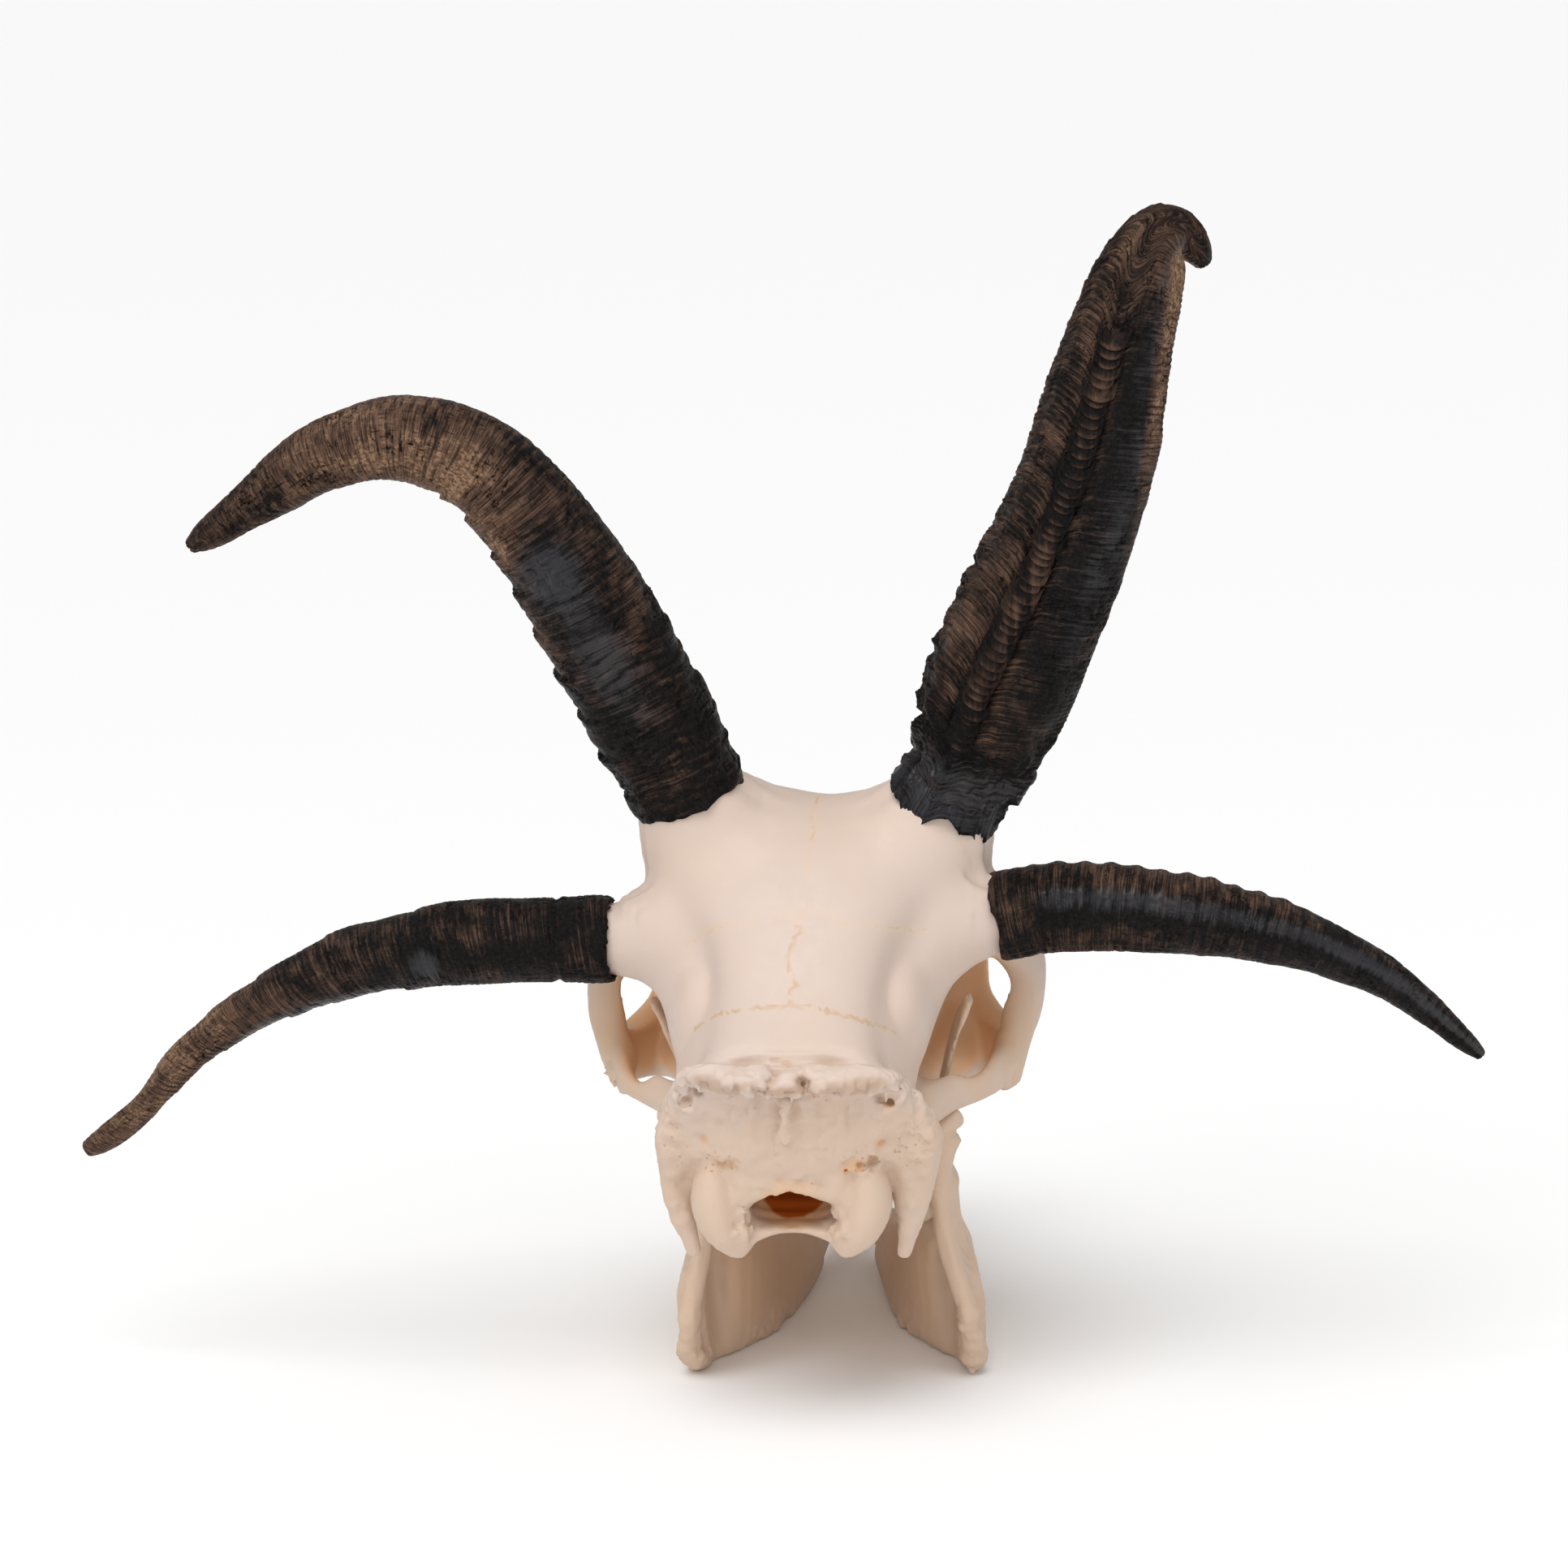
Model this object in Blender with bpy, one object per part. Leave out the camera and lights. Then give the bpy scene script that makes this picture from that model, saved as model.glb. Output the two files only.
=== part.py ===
"""Four-horned ram's skull with its lower jaw, life size, mouth a little open.

Every form is given in millimetres, x to the animal's left, y to its back, z up, with the median
plane at x = 0, the rear of the occipital condyles at y = 0 and the lowest edge of the jaw at z = 0.
The cranium is laid out with the line from its base to its front teeth level, and is then tipped
nose up about the jaw joints. The row's own origin is the middle of the whole box, on the floor.
"""
import math

import bmesh
import bpy
from mathutils import Matrix, Vector

MM = 0.001

# Where the median plane and the condyles lie in the row's frame, and how much of the
# jaw's rounded lower edge is cut flat
MEDIAN_X = -10.0
CONDYLE_Y = 106.9
FLAT_CUT = 4.5

# The cranium's stance
JOINT_Y, JOINT_Z = -49.0, 78.0
NOSE_UP = math.radians(8.0)
LEAN_FROM_Z, LEAN = 95.0, -0.058

# The right mastoid, side process and cheek stand a little farther out than the left ones
RIGHT_MASTOID = 1.17
RIGHT_CHEEK = 1.045

# The lower jaw lies level on the floor, slid and tilted a little to the animal's right
JAW_SLIDE_X = -6.6
JAW_TILT = 0.036
JAW_YAW = math.radians(1.3)
JAW_GAP = 0.3

# The gap that is left between a horn sheath and its bony core
SHEATH_GAP = 0.3

# Cheek teeth from the last molar forward: crown lengths along the row, in both jaws
CHEEK_TEETH = (18.0, 16.0, 12.5, 8.5, 8.0, 7.0)

VOXEL_BONE = 1.5
VOXEL_JAW = 1.3
CRANIUM_FACES = 7600
JAW_FACES = 1900

# Horn sheaths: x, y, z of the middle line, half width across, half depth, base first
UPPER_LEFT = (
    (28.7, -52.0, 170.0, 16.6, 15.0), (37.3, -45.0, 190.4, 17.4, 15.6), (46.4, -38.0, 210.6, 17.0, 15.2),
    (55.3, -31.3, 229.9, 16.3, 14.4), (65.8, -25.1, 248.6, 14.8, 13.2), (79.6, -20.3, 264.2, 13.0, 12.0),
    (99.0, -17.0, 271.2, 12.0, 11.0), (119.6, -17.0, 266.0, 9.9, 9.4), (137.9, -20.1, 254.4, 7.2, 7.2),
    (150.5, -23.8, 246.0, 4.8, 5.0), (156.9, -26.0, 241.8, 2.2, 2.4),
)
UPPER_RIGHT = (
    (-39.6, -52.0, 167.3, 17.3, 14.0), (-49.1, -44.0, 186.1, 18.7, 15.0), (-56.8, -36.0, 205.3, 20.2, 15.2),
    (-64.9, -29.3, 223.8, 19.6, 14.6), (-72.6, -23.1, 242.1, 18.6, 13.8), (-79.1, -18.2, 260.2, 17.4, 12.8),
    (-84.1, -14.7, 278.8, 16.2, 11.6), (-88.8, -12.6, 296.2, 14.2, 10.4), (-92.8, -14.2, 310.0, 12.2, 9.0),
    (-97.4, -18.6, 319.6, 9.4, 7.8), (-102.8, -25.0, 321.6, 6.6, 6.4), (-107.4, -30.0, 317.0, 4.8, 5.0),
    (-110.0, -33.0, 312.4, 2.6, 2.8),
)
LOWER_LEFT = (
    (52.4, -48.0, 130.8, 12.3, 11.6), (70.0, -48.7, 130.4, 12.4, 11.6), (87.7, -49.5, 129.8, 12.2, 11.4),
    (105.4, -51.1, 127.3, 11.2, 10.6), (123.4, -54.8, 122.6, 9.8, 9.4), (140.6, -58.5, 115.0, 7.9, 7.8),
    (157.4, -63.7, 105.1, 6.7, 6.8), (173.0, -69.8, 92.2, 5.5, 5.8), (186.8, -75.9, 76.7, 4.5, 4.8),
    (197.0, -79.8, 68.2, 4.2, 4.4), (204.0, -82.0, 63.6, 2.6, 2.8),
)
LOWER_RIGHT = (
    (-52.6, -50.0, 135.9, 12.7, 12.0), (-68.1, -50.7, 138.6, 12.9, 12.0), (-83.8, -51.5, 138.3, 12.4, 11.6),
    (-99.4, -53.1, 136.6, 11.7, 11.0), (-114.8, -56.8, 133.3, 10.8, 10.2), (-130.1, -60.5, 128.8, 9.4, 9.2),
    (-145.0, -65.7, 122.1, 7.8, 7.8), (-159.2, -71.8, 113.2, 6.4, 6.6), (-172.0, -77.9, 101.6, 4.6, 4.8),
    (-179.0, -81.2, 94.8, 3.4, 3.6), (-184.0, -84.0, 89.8, 1.8, 2.0),
)


def clear_scene():
    """Start from an empty scene."""
    for leftover in list(bpy.data.objects):
        bpy.data.objects.remove(leftover, do_unlink=True)


def to_row(point):
    """Millimetres from the median plane and the condyles to metres in the row's frame."""
    return Vector(((point[0] + MEDIAN_X) * MM, (point[1] + CONDYLE_Y) * MM, (point[2] - FLAT_CUT) * MM))


def tip_cranium(point):
    """A point of the level cranium, leaned and tipped nose up about the jaw joints."""
    x, y, z = point
    x += LEAN * max(0.0, z - LEAN_FROM_Z)
    back, up = y - JOINT_Y, z - JOINT_Z
    cosine, sine = math.cos(NOSE_UP), math.sin(NOSE_UP)
    return to_row((x, JOINT_Y + back * cosine + up * sine, JOINT_Z + up * cosine - back * sine))


def slide_jaw(point):
    """A point of the centred lower jaw, slid and turned to where it lies."""
    x, y, z = point
    back = y - JOINT_Y
    cosine, sine = math.cos(JAW_YAW), math.sin(JAW_YAW)
    slide = JAW_SLIDE_X + JAW_TILT * z
    return to_row((x * cosine - back * sine + slide, JOINT_Y + back * cosine + x * sine, z))


def catmull(values, steps):
    """Rows of numbers smoothed into steps times as many, through every one of them."""
    rows = []
    last = len(values) - 1
    for index in range(last):
        before = values[max(index - 1, 0)]
        start, end = values[index], values[index + 1]
        after = values[min(index + 2, last)]
        for step in range(steps):
            t = step / steps
            rows.append([
                0.5 * (2 * b + (c - a) * t + (2 * a - 5 * b + 4 * c - d) * t * t
                       + (3 * b - a - 3 * c + d) * t ** 3)
                for a, b, c, d in zip(before, start, end, after)
            ])
    rows.append(list(values[last]))
    return rows


class Shells:
    """Closed forms that together make one bone, kept in one mesh until they are fused."""

    def __init__(self, place):
        self.bm = bmesh.new()
        self.place = place

    def blob(self, centre, radii, pitch=0.0, yaw=0.0, roll=0.0):
        """An egg: pitch lifts its front, yaw turns it about z, roll about y, in degrees."""
        turn = (Matrix.Rotation(math.radians(yaw), 3, 'Z') @ Matrix.Rotation(math.radians(-pitch), 3, 'X')
                @ Matrix.Rotation(math.radians(roll), 3, 'Y'))
        made = bmesh.ops.create_icosphere(self.bm, subdivisions=3, radius=1.0)
        for vert in made["verts"]:
            local = Vector(a * b for a, b in zip(vert.co, radii))
            vert.co = self.place(Vector(centre) + turn @ local)

    def loft(self, stations, up=(0.0, 0.0, 1.0), power=2.0, sides=16, steps=3, section=None):
        """A bar through stations of x, y, z, half width and half height, with rounded ends."""
        rows = catmull(stations, steps)
        points = [Vector(row[:3]) for row in rows]
        rings = []
        for index, row in enumerate(rows):
            ahead = points[min(index + 1, len(rows) - 1)] - points[max(index - 1, 0)]
            ahead.normalize()
            side = Vector(up).cross(ahead).normalized()
            top = ahead.cross(side)
            ring = []
            for number in range(sides):
                angle = 2 * math.pi * number / sides
                cosine, sine = math.cos(angle), math.sin(angle)
                reach = (abs(cosine) ** power + abs(sine) ** power) ** (-1.0 / power)
                if section:
                    reach *= section(angle, index / (len(rows) - 1))
                ring.append(points[index] + side * row[3] * reach * cosine + top * row[4] * reach * sine)
            rings.append(ring)
        verts = [[self.bm.verts.new(self.place(p)) for p in ring] for ring in rings]
        for first, second in zip(verts, verts[1:]):
            for number in range(sides):
                after = (number + 1) % sides
                self.bm.faces.new((first[number], first[after], second[after], second[number]))
        self.bm.faces.new(verts[0])
        self.bm.faces.new(list(reversed(verts[-1])))

    def box(self, low, high, turn=None):
        """A plain block between two corners, turned by a matrix about its own middle."""
        made = bmesh.ops.create_cube(self.bm, size=1.0)
        middle = (Vector(low) + Vector(high)) / 2
        size = Vector(high) - Vector(low)
        for vert in made["verts"]:
            local = Vector(a * b for a, b in zip(vert.co, size))
            if turn:
                local = turn @ local
            vert.co = self.place(middle + local)

    def finish(self, name):
        """The forms as one object with every shell's faces pointing out."""
        bmesh.ops.recalc_face_normals(self.bm, faces=self.bm.faces)
        mesh = bpy.data.meshes.new(name)
        self.bm.to_mesh(mesh)
        self.bm.free()
        made = bpy.data.objects.new(name, mesh)
        bpy.context.scene.collection.objects.link(made)
        return made


def settle(made):
    """Put an object's modifiers into its mesh and keep only its largest closed surface."""
    graph = bpy.context.evaluated_depsgraph_get()
    graph.update()
    mesh = bpy.data.meshes.new_from_object(made.evaluated_get(graph))
    made.modifiers.clear()
    made.data = mesh
    bm = bmesh.new()
    bm.from_mesh(mesh)
    left = set(bm.verts)
    groups = []
    while left:
        stack = [left.pop()]
        group = set(stack)
        while stack:
            for edge in stack.pop().link_edges:
                for vert in edge.verts:
                    if vert in left:
                        left.discard(vert)
                        group.add(vert)
                        stack.append(vert)
        groups.append(group)
    groups.sort(key=len, reverse=True)
    bmesh.ops.delete(bm, geom=[v for group in groups[1:] for v in group], context='VERTS')
    bm.to_mesh(mesh)
    bm.free()
    return made


def fuse(made, voxel, rounds):
    """Fuse overlapping shells into one skin and round off the creases between them."""
    skin = made.modifiers.new("skin", 'REMESH')
    skin.mode = 'VOXEL'
    skin.voxel_size = voxel * MM
    soften = made.modifiers.new("soften", 'SMOOTH')
    soften.factor = 0.5
    soften.iterations = rounds
    return settle(made)


def cut(made, cutter, solver='EXACT'):
    """Take one cutter's shells out of a bone."""
    cutter.hide_render = True
    cutter.display_type = 'WIRE'
    away = made.modifiers.new("cut", 'BOOLEAN')
    away.operation = 'DIFFERENCE'
    away.solver = solver
    away.object = cutter
    settle(made)
    bpy.data.objects.remove(cutter, do_unlink=True)
    return made


def thin_faces(made, faces):
    """Bring the number of triangles down to about the wanted number."""
    made.data.calc_loop_triangles()
    fewer = made.modifiers.new("fewer", 'DECIMATE')
    fewer.ratio = min(1.0, faces / len(made.data.loop_triangles))
    fewer.use_collapse_triangulate = True
    return settle(made)


def finish_material(made, name, colour, roughness):
    """A plain surface in the colour of the real piece."""
    material = bpy.data.materials.new(name)
    material.use_nodes = True
    shader = material.node_tree.nodes["Principled BSDF"]
    shader.inputs["Base Color"].default_value = (*colour, 1.0)
    shader.inputs["Roughness"].default_value = roughness
    shader.inputs["Metallic"].default_value = 0.0
    made.data.materials.clear()
    made.data.materials.append(material)
    made.data.shade_smooth()
    made.data.set_sharp_from_angle(angle=math.radians(40))


def both(form):
    """Run a form once for each side of the animal."""
    for side in (1, -1):
        form(side)


def braincase(bone):
    """The brain's box: the vault, the flat base under it and the thick back wall."""
    bone.blob((0, -41, 106), (33, 38, 26), pitch=24)
    bone.blob((0, -24, 100), (30, 22, 22), pitch=10)
    bone.loft([(0, 1, 105, 23, 7), (0, -8, 113, 21, 9), (0, -21, 121, 20.5, 10),
               (0, -37, 133.5, 24, 12), (0, -50, 142, 33, 14), (0, -63, 147, 39.5, 15),
               (0, -82, 145, 42.5, 15), (0, -100, 135.5, 42, 14), (0, -116, 124, 32, 12),
               (0, -132, 114.5, 20, 10), (0, -150, 105, 14, 9)], power=2.6, sides=20)
    bone.loft([(0, -9, 68, 11, 5), (0, -28, 70, 12, 7), (0, -52, 76, 11, 9), (0, -76, 84, 9, 9)], power=2.4)
    bone.blob((0, -10, 92), (29, 9, 17))

    def side_pieces(side):
        bone.blob((side * 24, -54, 118), (14, 20, 17))
        bone.blob((side * 31, -62, 129), (10, 14, 9))

    both(side_pieces)


def occiput(bone):
    """The rough crest, its middle knob, the joints for the neck and the long side processes."""
    bone.loft([(27, -3, 108, 4, 4), (20, 1, 111.5, 5, 4.5), (9, 4, 111, 5.5, 4.5), (0, 5, 110, 5, 5),
               (-9, 4, 111, 5.5, 4.5), (-20, 1, 111.5, 5, 4.5), (-27, -3, 108, 4, 4)], steps=2, sides=12)
    bone.blob((0, 4, 108), (5, 4.5, 5))
    bone.loft([(0, 1, 104, 2.5, 2.5), (0, -2, 92, 2.5, 2), (0, -4, 83, 2, 2)], up=(0, 1, 0), sides=10)

    def side_pieces(side):
        out = side if side > 0 else side * RIGHT_MASTOID
        bone.loft([(out * 26, -4, 104, 5, 5), (out * 29.5, -9, 96, 5.5, 5.2), (out * 29.3, -14, 86, 6, 5.2),
                   (out * 30.2, -17, 77, 4.5, 4.6), (out * 28.4, -16, 66, 3, 3.4),
                   (out * 25.5, -15, 55.5, 2, 2.4)], up=(1, 0, 0), sides=12)
        bone.blob((side * 18.5, -8.5, 71), (8.5, 9.5, 14), roll=side * -26)
        bone.blob((side * 14, -9, 64), (6, 8, 7), roll=side * -30)
        bone.blob((side * 21, -40, 67), (8, 13, 9))
        bone.loft([(side * 23, -22, 83, 8, 8), (side * 26.5, -34, 85, 7, 7), (side * 28, -46, 86, 6.5, 5.5)])

    both(side_pieces)


def cheek_arch(bone):
    """The jaw joint, the arch in front of it, the post behind the eye and the eye's rim."""
    def side_pieces(half):
        side = half * 0.99 if half > 0 else half * 0.99 * RIGHT_CHEEK
        bone.loft([(side * 24, -50, 88, 6, 7), (side * 30, -50, 86, 8, 5.5), (side * 34, -49, 85, 7, 3.6)],
                  up=(0, 0, 1), sides=12)
        bone.loft([(side * 33, -45, 86.0, 2.8, 5.4), (side * 39, -53, 86.4, 2.4, 5.6),
                   (side * 47, -62, 86.6, 2.6, 5.6), (side * 51.5, -72, 86.6, 3.4, 6.4),
                   (side * 53, -85, 85, 3.8, 7.5), (side * 49.5, -101, 82, 4.6, 9.5),
                   (side * 42, -116, 79, 6, 10.5)], sides=12)
        bone.loft([(side * 52.5, -75, 85, 4, 4), (side * 55, -78, 94, 4, 5), (side * 56, -80.5, 103, 4, 5.3),
                   (side * 56.5, -81, 113, 4.6, 5.8), (side * 51.5, -79, 122, 7, 7),
                   (side * 43, -76, 127, 9, 8)], up=(1, 0, 0), sides=12)
        rim = []
        for step in range(13):
            turn = 2 * math.pi * step / 12
            across, rise = 19.5 * math.cos(turn), 19.5 * math.sin(turn)
            rim.append((side * (50.5 + 0.42 * across), -98.5 + 0.9 * across, 106.5 + rise, 3.6, 3.4))
        bone.loft(rim, up=(side * 0.9, -0.42, 0), sides=10, steps=2)
        bone.loft([(side * 34, -80, 128, 10, 8), (side * 42, -93, 125, 9, 6), (side * 40, -107, 120, 8, 7),
                   (side * 33, -122, 110, 7, 8)], sides=12)
        bone.blob((side * 36, -119, 98), (9, 11, 21), yaw=side * -20)
        bone.blob((side * 39, -110, 80), (9, 18, 11), yaw=side * 20)

    both(side_pieces)


def face(bone):
    """The long face: wall between the eyes, upper jaw bones, nose bones and the front splints."""
    bone.blob((0, -92, 112), (25, 36, 30), pitch=-8)
    bone.loft([(0, -94, 104, 30, 34), (0, -108, 98, 35, 32), (0, -122, 94, 34.5, 29), (0, -138, 89, 30, 25.5),
               (0, -155, 84.5, 24.5, 22), (0, -172, 80, 19.5, 18.5), (0, -186, 76.5, 16, 15.5)],
              power=2.5, sides=20)
    bone.loft([(0, -112, 130, 15, 7), (0, -128, 121, 14.5, 7), (0, -148, 110.5, 13, 6.5),
               (0, -168, 100, 11, 5.5), (0, -184, 91, 8.5, 3.6), (0, -192, 86, 4, 2)], power=2.4)

    def side_pieces(side):
        bone.loft([(side * 27, -90, 74, 6, 8), (side * 30.5, -104, 72, 6.5, 9),
                   (side * 31, -118, 71.5, 7, 9.5), (side * 28.5, -134, 70.5, 6.5, 9),
                   (side * 25, -150, 69, 5.5, 8), (side * 21.5, -164, 67, 4.5, 7)], power=2.6, sides=12)
        bone.loft([(side * 15.5, -172, 80, 3, 8), (side * 14, -188, 74, 2.8, 6.5),
                   (side * 11.5, -203, 69, 3.2, 4.2), (side * 8, -214, 66.5, 4.4, 2.8),
                   (side * 5.5, -219, 65.5, 4, 2.2)], sides=12)
        bone.loft([(side * 4, -178, 67, 2, 3), (side * 4.5, -196, 66, 1.8, 2.4),
                   (side * 5, -212, 65.5, 2.4, 2)], sides=8)
        bone.loft([(side * 12, -64, 82, 2.4, 8), (side * 13, -78, 76, 1.8, 10), (side * 15, -89, 72, 2, 9)],
                  sides=10)
        bone.loft([(side * 44, -118, 84, 4.5, 7), (side * 37, -132, 78, 4, 5), (side * 30, -142, 75, 3, 4)],
                  sides=10)

    both(side_pieces)


def upper_teeth(bone):
    """Six cheek teeth in each side of the upper jaw, rooted in the bone above them."""
    def side_pieces(side):
        front = -91.0
        for number, length in enumerate(CHEEK_TEETH):
            middle = front - length / 2
            front -= length
            out = 30.6 - 0.135 * max(0.0, -middle - 108.0) - 0.10 * max(0.0, middle + 102.0)
            wide = 5.4 - 0.45 * number
            bone.loft([(side * out, middle, 74, wide, length / 2 - 0.2),
                       (side * out, middle, 60, wide, length / 2 - 0.2),
                       (side * (out - 0.4), middle, 54.5, wide - 1.0, length / 2 - 0.9)],
                      up=(0, 1, 0), power=3.4, sides=12, steps=2)

    both(side_pieces)


def horn_cores(bone, place):
    """The bony cores on the brow that carry the four sheaths."""
    kept = bone.place
    bone.place = place
    stumps = (
        (UPPER_LEFT, (14.0, -63.0, 148.0), 21.0), (UPPER_RIGHT, (-24.0, -63.0, 146.0), 21.0),
        (LOWER_LEFT, (24.0, -50.0, 132.0), 12.0), (LOWER_RIGHT, (-30.0, -52.0, 132.0), 12.0),
    )
    for stations, root, root_radius in stumps:
        base, following = Vector(stations[0][:3]), Vector(stations[1][:3])
        axis = (following - base).normalized()
        wide, deep = stations[0][3] - 2.2, stations[0][4] - 2.2
        inner = Vector(root)
        near = base - axis * 9.0
        end = base - axis * (SHEATH_GAP + 0.3)
        bone.loft([(*inner, root_radius, root_radius), (*((inner + near) / 2), wide + 3.5, deep + 3.5),
                   (*near, wide + 0.6, deep + 0.6), (*end, wide, deep)], up=(0, 1, 0), sides=20)
    bone.place = kept


def cranium():
    """The upper skull: one bone with its cheek teeth and the four horn cores."""
    bone = Shells(tip_cranium)
    braincase(bone)
    occiput(bone)
    cheek_arch(bone)
    face(bone)
    horn_cores(bone, to_row)
    made = fuse(bone.finish("cranium"), VOXEL_BONE, 5)

    hollow = Shells(tip_cranium)
    hollow.loft([(0, 6, 74.5, 11, 8), (0, -9, 74, 10.5, 8.5), (0, -22, 84, 14, 11), (0, -36, 97, 21, 15),
                 (0, -52, 106, 22, 15), (0, -66, 110, 12, 8)], power=2.4)
    hollow.loft([(0, -232, 84, 12, 12), (0, -205, 82, 11, 12), (0, -188, 80, 11, 12), (0, -160, 86, 13, 12)],
                power=2.4)
    hollow.loft([(0, -68, 66, 9, 9), (0, -86, 73, 11, 9), (0, -104, 79, 12, 8)], power=2.4)
    hollow.loft([(0, -198, 60, 3, 12), (0, -210, 60, 3.2, 12)], sides=10)

    def side_pieces(side):
        hollow.blob((side * 48, -97.5, 106.5), (23, 17, 17), yaw=side * 24)
        hollow.blob((side * 41, -84, 103), (9.5, 15, 15))
        hollow.blob((side * 44, -64, 101), (8.5, 12, 13))
        hollow.loft([(side * 42, -62, 104, 6, 9), (side * 40.5, -66, 92, 6.5, 10),
                     (side * 39, -74, 72, 7, 13)], up=(0, 1, 0), sides=12)

    both(side_pieces)
    cut(made, fuse(hollow.finish("hollow"), VOXEL_BONE, 1), 'MANIFOLD')
    made = fuse(made, VOXEL_BONE, 2)

    teeth = Shells(tip_cranium)
    upper_teeth(teeth)
    fangs = fuse(teeth.finish("upper_teeth"), 0.9, 1)
    join = made.modifiers.new("teeth", 'BOOLEAN')
    join.operation = 'UNION'
    join.solver = 'MANIFOLD'
    join.object = fangs
    settle(made)
    bpy.data.objects.remove(fangs, do_unlink=True)
    thin_faces(made, CRANIUM_FACES)

    finish_material(made, "ivory_bone", (0.78, 0.67, 0.52), 0.55)
    return made


def horn(name, stations, section, sides, steps):
    """One horn sheath, solid, from its open end out to its tip."""
    shell = Shells(to_row)
    shell.loft(stations, up=(0, 1, 0), sides=sides, steps=steps, section=section)
    made = shell.finish(name)
    finish_material(made, name + "_horn", (0.022, 0.016, 0.013), 0.42)
    return made


def round_horn(angle, along):
    """A nearly round section with slow swellings along the horn."""
    return 1.0 + 0.02 * math.sin(along * 40.0) * (1.0 - along)


def grooved_horn(angle, along):
    """A section with a shallow groove down its rear face and a keel on its outer edge."""
    groove = math.exp(-((angle - 1.45) / 0.20) ** 2)
    keel = math.exp(-((math.sin(angle / 2 - math.pi / 2)) / 0.22) ** 2)
    return 1.0 - 0.10 * groove * (1.0 - along) + 0.03 * keel


def jaw_half(side):
    """One half of the lower jaw with its teeth, cut flat where it lies on the floor."""
    name = "mandible_left" if side > 0 else "mandible_right"
    bone = Shells(slide_jaw)
    body = [(38.0, -68, 19.5, 3.4, 14.2), (35.0, -80, 22.6, 4.4, 18.6), (28.6, -93, 22.4, 6.2, 19.4),
            (24.6, -108, 20.6, 6.4, 17.6), (21.2, -125, 18.6, 6.2, 15.6), (17.9, -142, 16.4, 5.4, 13.2),
            (14.8, -158, 15.6, 4.4, 10.6), (11.6, -172, 16.2, 3.8, 7.8), (8.6, -186, 17.4, 3.8, 6.0),
            (6.4, -200, 19, 5.2, 5.4), (6.6, -214, 20.5, 6.2, 4.6), (7.4, -227, 22.5, 6.6, 3.4)]
    bone.loft([(side * x, y, z, a, b) for x, y, z, a, b in body], power=2.5, sides=16)
    ramus = [(38.5, -70, 11, 8.0, 2.6), (38.6, -66, 22, 12.0, 2.4), (35.5, -68, 36, 15, 1.9),
             (34.0, -69, 50, 14, 1.7), (34.0, -68, 62, 12, 1.8), (36.2, -66, 72, 10.5, 2.0)]
    bone.loft([(side * x, y, z, a, b) for x, y, z, a, b in ramus], up=(side, 0, 0), sides=16)
    tall = [(36.2, -67.5, 70, 9, 2.0), (37.9, -66, 82, 7.6, 1.8), (40.2, -63.5, 95, 6.0, 1.7),
            (42.6, -59.5, 105, 4.6, 1.7), (43.4, -55, 112.6, 2.4, 1.5)]
    bone.loft([(side * x, y, z, a, b) for x, y, z, a, b in tall], up=(side, 0, 0), sides=12)
    bone.loft([(side * 34.5, -59, 61, 4.5, 2.4), (side * 34.8, -54, 69, 4.0, 4.5),
               (side * 35, -50, 75.0, 3.2, 8.2)], up=(side, 0, 0), sides=12)
    bone.loft([(side * 36.6, -76, 6.2, 2.6, 2.8), (side * 38.4, -65, 6.6, 3.0, 3.0),
               (side * 39.4, -57.5, 14.5, 2.8, 2.8), (side * 37.2, -55.4, 27, 2.6, 2.6),
               (side * 34.0, -56.5, 40, 2.2, 2.2), (side * 33.0, -58, 58, 2.2, 2.2)], up=(1, 0, 0), sides=10)
    made = fuse(bone.finish(name), VOXEL_JAW, 4)

    teeth = Shells(slide_jaw)
    front = -90.0
    for number, length in enumerate(CHEEK_TEETH):
        middle = front - length / 2
        front -= length
        along = (-middle - 92.0) / 70.0
        out = 30.2 - 13.5 * along
        wide = 4.2 - 0.42 * number
        crown = 45.5 - 13.5 * along
        teeth.loft([(side * out, middle, crown - 22 + 4 * along, wide, length / 2 - 0.2),
                    (side * out, middle, crown - 6, wide, length / 2 - 0.2),
                    (side * (out + 0.3), middle, crown, wide - 0.8, length / 2 - 0.9)],
                   up=(0, 1, 0), power=3.4, sides=12, steps=2)
    for number, (out, lean) in enumerate(((2.5, 0.0), (6.6, 0.10), (10.4, 0.24), (13.4, 0.40))):
        root = Vector((side * out * 0.86, -219.0 + number * 1.6, 21.0))
        tip = root + Vector((side * lean * 9.0, -15.0 + number * 1.2, 7.6))
        teeth.loft([(*root, 1.5, 1.3), (*(root.lerp(tip, 0.6)), 1.8, 1.5), (*tip, 1.9, 0.7)],
                   up=(0, 0, 1), sides=10, steps=2)
    fangs = fuse(teeth.finish("lower_teeth"), 0.7, 1)
    join = made.modifiers.new("teeth", 'BOOLEAN')
    join.operation = 'UNION'
    join.solver = 'MANIFOLD'
    join.object = fangs
    settle(made)
    bpy.data.objects.remove(fangs, do_unlink=True)

    trim = Shells(slide_jaw)
    trim.box((-80, -260, -20), (80, 20, FLAT_CUT))
    inner = -side * 60
    seam = side * JAW_GAP / 2
    trim.box((min(inner, seam), -260, 0.5), (max(inner, seam), -150, 130))
    cut(made, trim.finish("trim"), 'MANIFOLD')
    thin_faces(made, JAW_FACES)
    for vert in made.data.vertices:
        if vert.co.z < 0.3 * MM:
            vert.co.z = 0.0
    finish_material(made, name + "_bone", (0.80, 0.70, 0.56), 0.52)
    return made


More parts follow.
